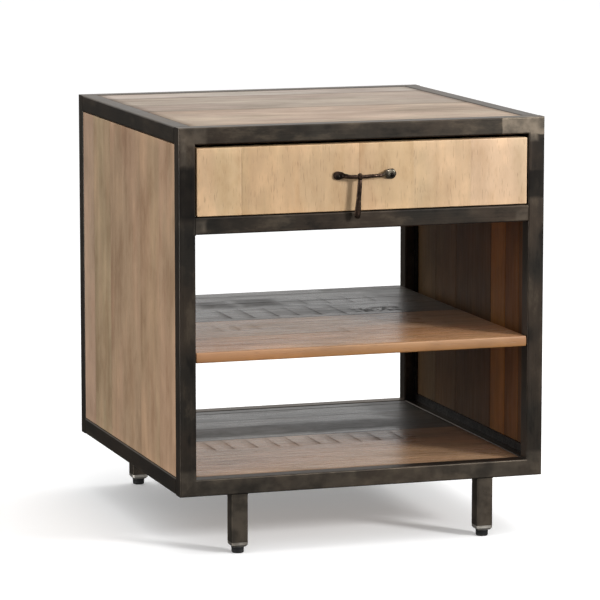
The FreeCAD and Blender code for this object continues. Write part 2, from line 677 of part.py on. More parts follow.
def make_board_screws():
    """Screws up through the stops and the cleats into the top, the base and the shelf."""
    pattern = fastener("board_screw")
    middle = f"({HALF_WIDTH} - {TUBE} - Sizes.stop_width / 2)"
    front = f"{FRONT} + {TUBE} + Sizes.stop_width / 2"
    back = f"{BACK} - {TUBE} - Sizes.stop_width / 2"
    quarter = "(Sizes.box_width / 4)"
    depth_middle = f"(({FRONT} + {BACK}) / 2)"
    rows = [f"{depth_middle} - {quarter}", f"{depth_middle} + {quarter}"]
    signs = SIDES.values()
    spots = []
    for board_top in (TOP, f"{BASE} + {TUBE}"):
        z = f"{board_top} - Sizes.board_recess - Sizes.board - Sizes.stop_bar"
        spots += [(f"{sign} * {quarter}", y, z) for sign in signs for y in (front, back)]
        spots += [(f"{sign} * {middle}", y, z) for sign in signs for y in rows]
    cleat = f"{BASE} + Sizes.shelf_level - Sizes.stop_bar"
    cleat_middle = f"({BAY_HALF} - Sizes.cleat_size / 2)"
    spots += [(f"{sign} * {cleat_middle}", y, cleat) for sign in signs for y in rows]
    group("board_screws", copies(pattern, "board_screw_copy", spots, Z * -1, X))


def make_panel_screws():
    """Short screws out through the stops into the thin side and back panels."""
    pattern = fastener("panel_screw")
    inset = "Sizes.board_recess - Sizes.side_board - Sizes.stop_bar"
    front = f"{FRONT} + {TUBE} + Sizes.stop_width / 2"
    back = f"{BACK} - {TUBE} - Sizes.stop_width / 2"
    levels = shares_of(f"{BASE} + {TUBE}", f"Sizes.box_height - 2 * {TUBE}", SIDE_PANEL_LEVELS)
    links = []
    for side, sign in SIDES.items():
        face = f"{sign} * ({HALF_WIDTH} - {inset})"
        spots = [(face, y, z) for y in (front, back) for z in levels]
        links += copies(pattern, f"{side}_panel_screw", spots, X * -sign, Y)
    middle = f"({BAY_HALF} - Sizes.stop_width / 2)"
    levels = shares_of(MID_RAIL_TOP, f"{TOP} - {TUBE} - {MID_RAIL_TOP}", BACK_PANEL_LEVELS)
    spots = [(f"{sign} * {middle}", f"{BACK} - {inset}", z) for sign in SIDES.values() for z in levels]
    links += copies(pattern, "back_panel_screw", spots, Y * -1, X)
    group("panel_screws", links)


def make_slide_screws():
    """Screws that fix the slides: cabinet members to the runner bars, drawer members to the box."""
    rows = shares_of(SLIDE_FRONT, "Sizes.slide_length", SLIDE_SCREW_ROWS)
    pattern = fastener("slide_screw")
    insets = {"cabinet": "Sizes.slide_sheet", "drawer": "Sizes.slide_depth - Sizes.slide_sheet"}
    facing = {"cabinet": -1, "drawer": 1}
    for member, inset in insets.items():
        links = []
        for side, sign in SIDES.items():
            spots = [(f"{sign} * ({BAY_HALF} - ({inset}))", y, SLIDE_LEVEL) for y in rows]
            links += copies(pattern, f"{side}_{member}_screw", spots, X * sign * facing[member], Y)
        group(f"slide_{member}_screws", links)


def make_drawer_screws():
    """Screws that hold the drawer's box together and its front on."""
    pattern = fastener("drawer_screw")
    thick = "Sizes.drawer_board"
    levels = shares_of(DRAWER_BASE, "Sizes.drawer_height", BOX_CORNER_LEVELS)
    joints = (f"{FRONT_BACK} + {thick} / 2", f"{DRAWER_BACK} - {thick} / 2")
    links = []
    for side, sign in SIDES.items():
        spots = [(f"{sign} * {DRAWER_HALF}", y, z) for y in joints for z in levels]
        links += copies(pattern, f"drawer_{side}_corner_screw", spots, X * sign, Y)
    levels = shares_of(DRAWER_BASE, "Sizes.drawer_height", FRONT_SCREW_LEVELS)
    inside = f"{FRONT_BACK} + {thick}"
    spots = [(f"{sign} * Sizes.front_width / 3", inside, z) for sign in SIDES.values() for z in levels]
    links += copies(pattern, "drawer_front_screw", spots, Y, X)
    group("drawer_screws", links)


def make_pull_nails():
    """Round-headed nails through the flattened ends of the pull."""
    pattern = fastener("pull_nail")
    across = "(Sizes.pull_width / 2 - Sizes.paddle_radius + Sizes.nail_offset)"
    face = f"{FRONT} + Sizes.board_recess - Sizes.paddle_board"
    spots = [(f"{sign} * {across}", face, PULL_LEVEL) for sign in SIDES.values()]
    group("pull_nails", copies(pattern, "pull_nail_copy", spots, Y * -1, X))


def check_document():
    """Stop if any object failed, or any sub-part has no valid shape."""
    doc.recompute()
    for thing in doc.Objects:
        if {"Invalid", "Error"} & set(thing.State):
            raise RuntimeError(f"{thing.Label}: {thing.State}")
    for part in HAND_IN:
        if part.Shape.isNull() or not part.Shape.isValid():
            raise RuntimeError(f"{part.Label}: its shape is not valid")


make_end_frames()
make_side_rails()
make_legs()
make_feet()
make_boards()
make_stops()
make_shelf_cleats()
make_runner_bars()
make_slides()
make_drawer()
make_pull()
make_drop()
make_board_screws()
make_panel_screws()
make_slide_screws()
make_drawer_screws()
make_pull_nails()
check_document()
os.makedirs("parts", exist_ok=True)
for part in HAND_IN:
    part.Shape.exportStep(f"parts/{part.Label}.step")
    box = part.Shape.BoundBox
    print(f"{part.Label}: {len(part.Shape.Solids)} solids, {part.Shape.Volume:.0f} mm3,",
          f"x {box.XMin:.1f} {box.XMax:.1f}, y {box.YMin:.1f} {box.YMax:.1f},",
          f"z {box.ZMin:.1f} {box.ZMax:.1f}")
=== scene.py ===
"""Looks of a side table with one drawer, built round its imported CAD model.

Metres, in the row frame: +Z up, the front (drawer) side faces -Y.
"""

import json
import math
import random
from collections import namedtuple

import bpy
import numpy as np
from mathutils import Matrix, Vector, noise


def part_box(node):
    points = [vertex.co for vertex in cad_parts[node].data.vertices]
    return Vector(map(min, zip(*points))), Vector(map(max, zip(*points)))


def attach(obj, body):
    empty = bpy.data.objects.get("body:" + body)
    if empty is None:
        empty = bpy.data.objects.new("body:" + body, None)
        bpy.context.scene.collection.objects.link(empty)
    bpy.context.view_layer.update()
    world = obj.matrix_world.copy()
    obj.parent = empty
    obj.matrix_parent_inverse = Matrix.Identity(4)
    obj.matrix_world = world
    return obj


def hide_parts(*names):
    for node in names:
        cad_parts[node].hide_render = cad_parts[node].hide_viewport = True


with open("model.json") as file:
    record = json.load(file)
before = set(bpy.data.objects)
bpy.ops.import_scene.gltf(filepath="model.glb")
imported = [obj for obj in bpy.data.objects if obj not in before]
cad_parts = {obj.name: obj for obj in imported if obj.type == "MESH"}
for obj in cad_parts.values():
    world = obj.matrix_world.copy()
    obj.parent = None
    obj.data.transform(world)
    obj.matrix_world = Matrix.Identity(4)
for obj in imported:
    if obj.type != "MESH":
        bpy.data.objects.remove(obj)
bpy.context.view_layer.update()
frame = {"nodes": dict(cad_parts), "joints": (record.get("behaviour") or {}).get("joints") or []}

# Without a seed, noise vectors differ from run to run.
noise.seed_set(1)

MM = 0.001
X, Y, Z = 0, 1, 2
SIDES = {"left": -1, "right": 1}
ENDS = ("front", "back")


def corners(node):
    """Lowest and highest corner of a CAD node, as arrays."""
    low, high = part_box(node)
    return np.array(low), np.array(high)


def shade(red, green, blue):
    """A display colour of 0 to 255 as the linear colour that shaders take."""
    channels = [value / 255 for value in (red, green, blue)]
    linear = [c / 12.92 if c <= 0.04045 else ((c + 0.055) / 1.055) ** 2.4 for c in channels]
    return (*linear, 1.0)


POST_LOW, POST_HIGH = corners("post_front_right")
FRAME_FRONT, FRAME_BASE = POST_LOW[Y], POST_LOW[Z]
HALF_WIDTH, FRAME_TOP = POST_HIGH[X], POST_HIGH[Z]
TUBE = POST_HIGH[X] - POST_LOW[X]
BAY_HALF = HALF_WIDTH - TUBE
TOP_RAIL_MIDDLE = FRAME_TOP - TUBE / 2
MID_RAIL_BASE = corners("front_middle_rail")[0][Z]
LEG_BASE = corners("leg_end_plates")[0][Z]
SHELF_TOP, BASE_TOP = corners("shelf")[1][Z], corners("base_board")[1][Z]


# ---- node graphs

class Graph:
    """A node tree, whose methods add a node and return its output socket."""

    def __init__(self, tree):
        self.tree = tree

    def add(self, kind, inputs=(), **settings):
        """A node with its settings made and its inputs fed, by name or number."""
        node = self.tree.nodes.new(kind)
        for name, setting in settings.items():
            setattr(node, name, setting)
        for key, source in dict(inputs).items():
            self.feed(node.inputs[key], source)
        return node

    def feed(self, socket, source):
        """Link a socket to another one, or set its value."""
        if isinstance(source, bpy.types.NodeSocket):
            self.tree.links.new(source, socket)
        else:
            socket.default_value = source

    def place(self):
        """The point's place in the row frame, which rides with its piece."""
        return self.add("ShaderNodeTexCoord").outputs["Object"]

    def painted(self, name, output="Fac"):
        """A value painted on the mesh's points."""
        node = self.add("ShaderNodeAttribute", attribute_name=name)
        return node.outputs[output]

    def math(self, operation, *terms):
        return self.add("ShaderNodeMath", enumerate(terms), operation=operation).outputs[0]

    def vector(self, operation, *terms):
        return self.add("ShaderNodeVectorMath", enumerate(terms), operation=operation).outputs[0]

    def scaled(self, vector, factors):
        return self.vector("MULTIPLY", vector, factors)

    def parts(self, vector):
        return self.add("ShaderNodeSeparateXYZ", {0: vector}).outputs[:3]

    def joined(self, parts):
        return self.add("ShaderNodeCombineXYZ", enumerate(parts)).outputs[0]

    def noise(self, vector, scale=1.0, detail=2.0, roughness=0.5, colour=False):
        inputs = {"Vector": vector, "Scale": scale, "Detail": detail, "Roughness": roughness}
        return self.add("ShaderNodeTexNoise", inputs).outputs[1 if colour else 0]

    def spread(self, value, low, high, to_low=0.0, to_high=1.0):
        """Map one span of values to another, and stop at its ends."""
        inputs = {0: value, 1: low, 2: high, 3: to_low, 4: to_high}
        return self.add("ShaderNodeMapRange", inputs, interpolation_type="SMOOTHSTEP").outputs[0]

    def mix(self, share, first, second, mode="MIX"):
        inputs = {0: share, 6: first, 7: second}
        return self.add("ShaderNodeMix", inputs, data_type="RGBA", blend_type=mode).outputs[2]

    def tinged(self, share, colour, tone):
        """Multiply a share of a tone into a colour."""
        return self.mix(share, colour, tone, "MULTIPLY")

    def bump(self, height, depth, strength=0.5):
        inputs = {"Strength": strength, "Distance": depth, "Height": height}
        return self.add("ShaderNodeBump", inputs).outputs[0]


class Surface(Graph):
    """A new material's node tree, which starts with its shader."""

    def __init__(self, name):
        self.material = bpy.data.materials.new(name)
        self.material.use_nodes = True
        super().__init__(self.material.node_tree)
        self.tree.nodes.clear()
        self.shader = self.add("ShaderNodeBsdfPrincipled")
        output = self.add("ShaderNodeOutputMaterial")
        self.tree.links.new(self.shader.outputs["BSDF"], output.inputs["Surface"])

    def surface(self, **inputs):
        """Feed the shader's own sockets, named with underscores for spaces."""
        for name, source in inputs.items():
            self.feed(self.shader.inputs[name.replace("_", " ")], source)


# ---- patches

Patch = namedtuple("Patch", "centre half strength soft")
PATCH_DEPTH = 3


def front_patch(x, z, half_x, half_z, strength, soft, depth=PATCH_DEPTH):
    """A patch on the frame's front. Its half sizes, depth and softness are in mm."""
    return Patch((x, FRAME_FRONT, z), (half_x * MM, depth * MM, half_z * MM), strength, soft * MM)


def board_patch(x, y, level, half_x, half_y, strength, soft):
    """A patch on a board, placed from the frame's left front corner, in mm."""
    place = (x * MM - HALF_WIDTH, y * MM + FRAME_FRONT, level)
    return Patch(place, (half_x * MM, half_y * MM, PATCH_DEPTH * MM), strength, soft * MM)


def wandered(g, place, scale, reach):
    """A place pushed about by noise, which makes ragged edges."""
    push = g.vector("ADD", g.noise(place, scale, detail=3, colour=True), (-0.5, -0.5, -0.5))
    return g.vector("MULTIPLY_ADD", push, (reach, reach, reach), place)


def patch_mask(g, place, patches):
    """How much of any of the patches covers a point: boxes whose edges are smudged or sharp."""
    total = 0.0
    for patch in patches:
        away = g.vector("ABSOLUTE", g.vector("SUBTRACT", place, patch.centre))
        x, y, z = g.parts(g.vector("SUBTRACT", away, patch.half))
        outside = g.math("MAXIMUM", g.math("MAXIMUM", x, y), z)
        cover = g.spread(outside, patch.soft, -patch.soft, 0.0, patch.strength)
        total = g.math("MAXIMUM", total, cover)
    return total


# ---- wood

Layer = namedtuple("Layer", "along across detail roughness", defaults=(2, 0.5))
Timber = namedtuple("Timber", "ring figure flame streak pore blotch stain rough polish gloss")

# Noise in the wood, by how fast it varies along the grain and across it, per metre.
LAYERS = {"sway": Layer(1.6, 9, 3), "cloud": Layer(3, 9, 3), "hue": Layer(4, 12),
          "flame": Layer(8, 27, 4, 0.55), "blotch": Layer(8, 15, 5, 0.62), "streak": Layer(12, 160, 5, 0.65),
          "fibre": Layer(40, 1500), "pore": Layer(60, 700, 1), "dash": Layer(50, 300)}
SWAY_REACH = 0.16
BOX_HEART = (0.37, 0.021, 0.055)

SHADOW, LIGHT = (0.6, 0.54, 0.48, 1), (1.4, 1.38, 1.35, 1)
ROSY, OLIVE = (1.015, 0.985, 0.985, 1), (0.985, 1.0, 0.985, 1)
PORE_TONE, SEAM_TONE, SAW_MARK_AND_SHADOW_TONE = (0.4, 0.33, 0.27, 1), (0.16, 0.12, 0.09, 1), (0.2, 0.17, 0.15, 1)
STAIN_AND_SHADE_TONE, SPECK_TONE = (0.4, 0.4, 0.41, 1), (0.06, 0.06, 0.06, 1)

TOP_TIMBER = Timber(ring=0.021, figure=0.16, flame=0.4, streak=0.3, pore=0.34, blotch=0.42,
                    stain=(0.8, 0.75, 0.73, 1), rough=0.82, polish=0.66, gloss=0.3)
SIDE_TIMBER = Timber(ring=0.027, figure=0.16, flame=0.2, streak=0.1, pore=0.24, blotch=0.7,
                     stain=(0.74, 0.68, 0.63, 1), rough=0.6, polish=0.4, gloss=0.25)
SHELF_TIMBER = Timber(ring=0.018, figure=0.14, flame=0.5, streak=0.18, pore=0.25, blotch=0.3,
                      stain=(0.6, 0.57, 0.56, 1), rough=0.38, polish=0.2, gloss=0.5)
FRONT_TIMBER = Timber(ring=0.024, figure=0.1, flame=0.2, streak=0.06, pore=0.36, blotch=0.8,
                      stain=(0.84, 0.78, 0.7, 1), rough=0.5, polish=0.34, gloss=0.4)
BOX_TIMBER = Timber(ring=0.014, figure=0.12, flame=0.3, streak=0.25, pore=0.3, blotch=0.25,
                    stain=(0.8, 0.74, 0.66, 1), rough=0.6, polish=0.45, gloss=0.4)


def wood_noises(g, grain):
    """The noise of each layer, by its name."""
    return {name: g.noise(g.scaled(grain, (layer.along, layer.across, layer.across)),
                          detail=layer.detail, roughness=layer.roughness)
            for name, layer in LAYERS.items()}


def year_rings(g, grain, sway, width):
    """Year rings round the log's heart, from 0 to 1. The trunk's slow sway bends them."""
    across, depth = g.parts(grain)[Y:]
    bent = g.math("MULTIPLY_ADD", sway, SWAY_REACH, across)
    heart = g.math("SQRT", g.math("ADD", g.math("MULTIPLY", bent, bent), g.math("MULTIPLY", depth, depth)))
    return g.spread(g.math("SINE", g.math("MULTIPLY", heart, 2 * math.pi / width)), -1.0, 1.0)


def figured(g, tint, ring, noises, timber):
    """The plank's tint, varied by its rings, hue, clouds, flames, streaks and blotches."""
    colour = g.tinged(g.math("MULTIPLY", ring, timber.figure), tint, SHADOW)
    rosy, olive = g.tinged(1.0, colour, ROSY), g.tinged(1.0, colour, OLIVE)
    colour = g.mix(g.spread(noises["hue"], 0.42, 0.58), rosy, olive)
    for layer, amount in (("cloud", timber.flame * 0.8), ("flame", timber.flame), ("streak", timber.streak)):
        colour = g.tinged(g.spread(noises[layer], 0.5, 0.7, 0, amount), colour, SHADOW)
        colour = g.tinged(g.spread(noises[layer], 0.5, 0.3, 0, amount), colour, LIGHT)
    colour = g.tinged(g.spread(noises["blotch"], 0.48, 0.66, 0, timber.blotch), colour, timber.stain)
    return g.tinged(g.spread(noises["blotch"], 0.5, 0.34, 0, 0.5 * timber.blotch), colour, LIGHT)


def wood(name, timber, axes=None, tint=None, stain_and_shade_patches=(), specks=()):
    """Oiled timber. Plank meshes carry its grain and tint; a CAD board gives axes along, across and down."""
    g = Surface(name)
    if axes is None:
        grain, tint = g.painted("grain", "Vector"), g.painted("tint", "Color")
        rim, mark = g.painted("rim"), g.painted("mark")
    else:
        place = g.parts(g.place())
        grain = g.vector("ADD", g.joined([place[axis] for axis in axes]), BOX_HEART)
        rim = mark = 0.0
    noises = wood_noises(g, grain)
    ring = year_rings(g, grain, noises["sway"], timber.ring)
    pore = g.spread(noises["pore"], 0.63, 0.74)
    clustered = g.spread(noises["cloud"], 0.4, 0.6, 0.2, 1.0)
    dash = g.math("MULTIPLY", g.spread(noises["dash"], 0.64, 0.72), clustered)
    # Stains, with painted shade at the right end of the shelf and the base.
    stain_and_shade = g.math("MULTIPLY", patch_mask(g, wandered(g, g.place(), scale=34, reach=30 * MM), stain_and_shade_patches),
                     g.spread(noises["flame"], 0.25, 0.5, 0.5, 1.0))
    crumbs = g.spread(g.noise(g.scaled(g.place(), (110, 90, 90)), detail=4, roughness=0.6), 0.44, 0.53)
    speck = g.math("MULTIPLY", patch_mask(g, wandered(g, g.place(), scale=60, reach=20 * MM), specks), crumbs)

    colour = figured(g, tint, ring, noises, timber)
    open_grain = g.math("MAXIMUM", pore, dash)
    for cover, amount, tone in ((stain_and_shade, 1.0, STAIN_AND_SHADE_TONE), (open_grain, timber.pore, PORE_TONE),
                                # A rim below zero takes LIGHT: a painted highlight along eased edges.
                                (rim, 0.8, SEAM_TONE), (rim, -0.7, LIGHT),
                                # Saw marks, whose fainter tails are painted shadow.
                                (mark, 0.95, SAW_MARK_AND_SHADOW_TONE), (speck, 1.0, SPECK_TONE)):
        colour = g.tinged(g.math("MULTIPLY", cover, amount), colour, tone)

    height = g.math("MULTIPLY_ADD", pore, -0.9, g.math("MULTIPLY", noises["fibre"], 0.5))
    height = g.math("MULTIPLY_ADD", ring, 0.35, height)
    height = g.math("MULTIPLY_ADD", noises["streak"], 0.8, height)
    matt = g.math("MAXIMUM", g.math("MAXIMUM", stain_and_shade, mark), g.math("MAXIMUM", rim, speck))
    rough = g.spread(noises["streak"], 0.3, 0.75, timber.polish, timber.rough)
    rough = g.math("MULTIPLY_ADD", matt, 0.45, rough)
    g.surface(Base_Color=colour, Roughness=rough, Normal=g.bump(height, 0.25 * MM))
    g.surface(Specular_IOR_Level=timber.gloss)
    return g.material


# ---- steel

BLACKENED, BROWNED, PITCH_BLACK = shade(41, 38, 34), shade(59, 50, 42), shade(7, 7, 7)
SMUDGE_LIGHT, SMUDGE_DARK = shade(84, 74, 62), shade(24, 23, 22)
DRAWN_TONE, SPOT_TONE = shade(84, 76, 66), shade(24, 22, 20)
GROUND_AND_LIT_DULL, GROUND_AND_LIT_BRIGHT = shade(92, 84, 74), shade(142, 129, 113)


def run_scale(axis, along, around):
    """Noise scales for marks that run along one axis."""
    return tuple(along if a == axis else around for a in (X, Y, Z))


def steel(name, axis, bare_and_lit_places, dark_places):
    """Blackened tube under lacquer, drawn along an axis, with smudges, ground places, places painted paler as
    painted light, and dark ones.
    """
    g = Surface(name)
    place = g.place()
    smudged = wandered(g, place, scale=26, reach=11 * MM)
    cloud = g.noise(place, 9, detail=3)
    smudge = g.noise(g.scaled(place, run_scale(axis, 14, 34)), detail=5, roughness=0.65)
    drawn = g.noise(g.scaled(place, run_scale(axis, 9, 900)), detail=3, roughness=0.6)
    spots = g.noise(place, 420)

    colour = g.mix(g.spread(cloud, 0.36, 0.64), BLACKENED, BROWNED)
    colour = g.mix(g.spread(smudge, 0.5, 0.7, 0, 0.7), colour, SMUDGE_LIGHT)
    colour = g.mix(g.spread(smudge, 0.48, 0.3, 0, 0.75), colour, SMUDGE_DARK)
    colour = g.mix(g.spread(drawn, 0.55, 0.75, 0, 0.2), colour, DRAWN_TONE)
    colour = g.mix(patch_mask(g, smudged, dark_places), colour, PITCH_BLACK)
    # Ground paler places, and places painted paler as painted light.
    ground_and_lit = g.mix(g.spread(g.noise(place, 38, detail=4), 0.36, 0.64), GROUND_AND_LIT_DULL, GROUND_AND_LIT_BRIGHT)
    colour = g.mix(patch_mask(g, smudged, bare_and_lit_places), colour, ground_and_lit)
    colour = g.mix(g.spread(spots, 0.66, 0.74, 0, 0.5), colour, SPOT_TONE)

    rough = g.math("MULTIPLY_ADD", smudge, 0.22, g.math("MULTIPLY_ADD", drawn, 0.12, 0.24))
    height = g.math("MULTIPLY_ADD", cloud, 2.0, g.math("MULTIPLY_ADD", drawn, 0.35, spots))
    g.surface(Base_Color=colour, Metallic=0.82, Roughness=rough, Normal=g.bump(height, 0.1 * MM))
    g.surface(Coat_Weight=0.2, Coat_Roughness=0.2, Specular_Tint=(1.0, 0.92, 0.84, 1.0))
    return g.material


RUBBED_TONE = shade(84, 81, 70)


def plain_metal(name, light, dark, rough, grain=300.0, metallic=0.9, rubbed=(), dent=0.08 * MM):
    """Small steel parts: clouded, finely marked, with darker stains and rubbed places."""
    g = Surface(name)
    place = g.place()
    worn = patch_mask(g, wandered(g, place, scale=120, reach=5 * MM), rubbed)
    cloud = g.noise(place, 40, detail=4, roughness=0.6)
    marks = g.noise(place, grain, detail=3, roughness=0.6)
    colour = g.mix(g.spread(cloud, 0.35, 0.65), dark, light)
    colour = g.mix(g.spread(marks, 0.55, 0.75, 0, 0.5), colour, dark)
    colour = g.mix(worn, colour, RUBBED_TONE)
    height = g.math("MULTIPLY_ADD", cloud, 2.0, marks)
    rough = g.spread(marks, 0.3, 0.7, rough - 0.1, rough + 0.1)
    g.surface(Base_Color=colour, Metallic=metallic, Roughness=rough, Normal=g.bump(height, dent, 0.6))
    return g.material


def moulded_plastic():
    """Black plastic of the levelling feet, scuffed near the floor."""
    g = Surface("foot_plastic")
    place = g.place()
    mould = g.noise(place, 900)
    scuff = g.noise(g.scaled(place, (90, 90, 300)), detail=4)
    near_floor = g.spread(g.parts(place)[Z], 6 * MM, 0.0)
    worn = g.math("MULTIPLY", g.spread(scuff, 0.5, 0.7), near_floor)
    colour = g.mix(worn, shade(24, 24, 25), shade(74, 72, 70))
    rough = g.spread(scuff, 0.3, 0.7, 0.38, 0.6)
    g.surface(Base_Color=colour, Roughness=rough, Normal=g.bump(mould, 0.05 * MM))
    return g.material


# ---- mesh building

def in_scene(name, data):
    """A new object in the scene, from its mesh, lamp or camera."""
    thing = bpy.data.objects.new(name, data)
    bpy.context.scene.collection.objects.link(thing)
    return thing


def piece(name, points, faces, material, body, stands_for=()):
    """A shown mesh that rides on a body and may stand for CAD nodes."""
    mesh = bpy.data.meshes.new(name)
    mesh.from_pydata([tuple(point) for point in points], [], [list(map(int, face)) for face in faces])
    mesh.update()
    mesh.shade_smooth()
    mesh.materials.append(material)
    thing = in_scene(name, mesh)
    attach(thing, body)
    if stands_for:
        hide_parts(*stands_for)
    return thing


def paint(thing, name, kind, values):
    """Store values on a mesh's points, for its material to read."""
    attribute = thing.data.attributes.new(name, kind, "POINT")
    field = {"FLOAT": "value", "FLOAT_VECTOR": "vector", "FLOAT_COLOR": "color"}[kind]
    attribute.data.foreach_set(field, np.asarray(values, np.float32).ravel())


def ruled(low, high, radius, step, places=(), reach=()):
    """Grid lines of one axis: close at the rounded ends and, at some distances, round each place."""
    close = [place + side * gap for place in places for gap in (0.0, *reach) for side in (-1, 1)]
    count = max(1, round((high - low - 2 * radius) / step))
    even = np.linspace(low + radius, high - radius, count + 1)
    gap = max(reach, default=0.0) + step / 6
    even = [line for i, line in enumerate(even)
            if i in (0, count) or all(abs(line - place) > gap for place in places)]
    lines = [low, low + 0.3 * radius, *even, high - 0.3 * radius, high, *close]
    return np.unique(np.round([line for line in lines if low <= line <= high], 7))


def box_surface(lines):
    """Points and quads of a box whose faces are cut along three lists of grid lines."""
    counts = [len(axis_lines) for axis_lines in lines]
    quads = []
    for axis in (X, Y, Z):
        u, v = (axis + 1) % 3, (axis + 2) % 3
        iu, iv = np.meshgrid(range(counts[u] - 1), range(counts[v] - 1), indexing="ij")
        for level in (0, counts[axis] - 1):
            loop = []
            for du, dv in ((0, 0), (1, 0), (1, 1), (0, 1)):
                index = [None] * 3
                index[axis], index[u], index[v] = np.full(iu.shape, level), iu + du, iv + dv
                loop.append(np.ravel_multi_index(index, counts).ravel())
            quads.append(np.stack(loop if level else loop[::-1], axis=1))
    quads = np.concatenate(quads)
    used = np.unique(quads)
    index = np.unravel_index(used, counts)
    points = np.stack([np.asarray(lines[axis])[index[axis]] for axis in (X, Y, Z)], axis=1)
    return points, np.searchsorted(used, quads)


def eased(points, low, high, radius):
    """Move a box's points onto the same box with rounded edges."""
    inner = np.clip(points, low + radius, high - radius)
    away = points - inner
    length = np.linalg.norm(away, axis=1, keepdims=True)
    return inner + away * radius / np.maximum(length, radius)


def turned(profile, segments):
    """A turned shape about +Z from its radii and heights, listed from the top down."""
    angles = np.linspace(0, 2 * math.pi, segments, endpoint=False)
    points = [(r * math.cos(a), r * math.sin(a), z) for r, z in profile for a in angles]
    return np.array(points), ring_quads(len(profile), segments)


def ring_quads(rings, segments):
    """Faces of a closed skin of rings, from the top ring down, with a cap on each end."""
    faces = []
    for ring in range(rings - 1):
        for i in range(segments):
            following = (i + 1) % segments
            upper, lower = ring * segments, (ring + 1) * segments
            faces.append((lower + i, lower + following, upper + following, upper + i))
    faces.append(range(segments))
    faces.append([(rings - 1) * segments + i for i in reversed(range(segments))])
    return faces


def swept(path, sizes, segments, across):
    """A skin along a path. Sizes are half widths to the side and along `across` at each point."""
    path = np.asarray(path, float)
    tangents = np.gradient(path, axis=0)
    points = []
    for place, tangent, (wide, high) in zip(path, tangents, sizes):
        tangent = Vector(tangent).normalized()
        side = Vector(across).cross(tangent).normalized()
        up = tangent.cross(side)
        for i in range(segments):
            angle = 2 * math.pi * i / segments
            points.append(Vector(place) + side * wide * math.cos(angle) + up * high * math.sin(angle))
    return np.array(points), [list(face)[::-1] for face in ring_quads(len(path), segments)]


def smooth_run(controls, count):
    """Points of a smooth curve through control points of any dimension."""
    controls = np.asarray(controls, float)
    padded = np.vstack([2 * controls[0] - controls[1], controls, 2 * controls[-1] - controls[-2]])
    run = []
    for share in np.linspace(0, len(controls) - 1, count):
        i = min(int(share), len(controls) - 2)
        t = share - i
        a, b, c, d = padded[i:i + 4]
        run.append(0.5 * (2 * b + (c - a) * t + (2 * a - 5 * b + 4 * c - d) * t ** 2
                          + (3 * b - a - 3 * c + d) * t ** 3))
    return np.array(run)


def roughened(points, depth, scale):
    """Push points about by smooth noise, as a hammer leaves them."""
    push = np.array([noise.noise_vector(Vector(point) * scale) for point in points])
    return points + push * depth


def gathered(parts):
    """Several meshes' points and faces as one."""
    points, faces, count = [], [], 0
    for part_points, part_faces in parts:
        points.append(np.asarray(part_points))
        faces += [[index + count for index in face] for face in part_faces]
        count += len(part_points)
    return np.concatenate(points), faces


# ---- boards

Kerfs = namedtuple("Kerfs", "first count spacing start end strength")
SEAM_HALF, SEAM_DEPTH = 0.9 * MM, 1.3 * MM
SEAM_STAIN, WIDE_STAIN_AND_SHADE, EDGE_TONE_REACH = 1.1 * MM, 4 * MM, 1.5 * MM
KERF_HALF, KERF_TAIL, KERF_RAMP, KERF_DEPTH = 2.6 * MM, 15 * MM, 9 * MM, 0.4 * MM
# Where a plank may lie in its log, in metres: along it, to the side of its heart, and out from it.
LOG_SPANS = ((0, 40), (-0.05, 0.05), (0.02, 0.09))


def kerf_lines(kerfs, low, along, across, rng):
    """Each saw mark as its place along the board, its start and end across it, and its strength."""
    lines = []
    for row in kerfs:
        for number in range(row.count):
            wobble = [rng.uniform(-3, 3) * MM for _ in range(3)]
            lines.append((low[along] + row.first + number * row.spacing + wobble[0],
                          low[across] + row.start + wobble[1], low[across] + row.end + wobble[2],
                          row.strength * rng.uniform(0.75, 1.0)))
    return lines


def kerf_cover(marks, along, across):
    """How much of a saw mark is at each point: a sharp line, and a fainter tail before it, which is painted
    shadow.
    """
    cover = np.zeros(len(along))
    for place, start, end, strength in marks:
        past = along - place
        near = np.clip(1 - np.abs(past) / KERF_HALF, 0, 1)
        # The tail before each line is painted shadow beside the scallop.
        shadow_tail = np.where(past < 0, 0.42 * np.clip(1 + past / KERF_TAIL, 0, 1), 0)
        begun = np.clip((across - start) / KERF_RAMP, 0, 1)
        left = np.clip((end - across) / (end - start), 0, 1) ** 0.5
        cover = np.maximum(cover, np.maximum(near, shadow_tail) * begun * left * strength)
    return cover


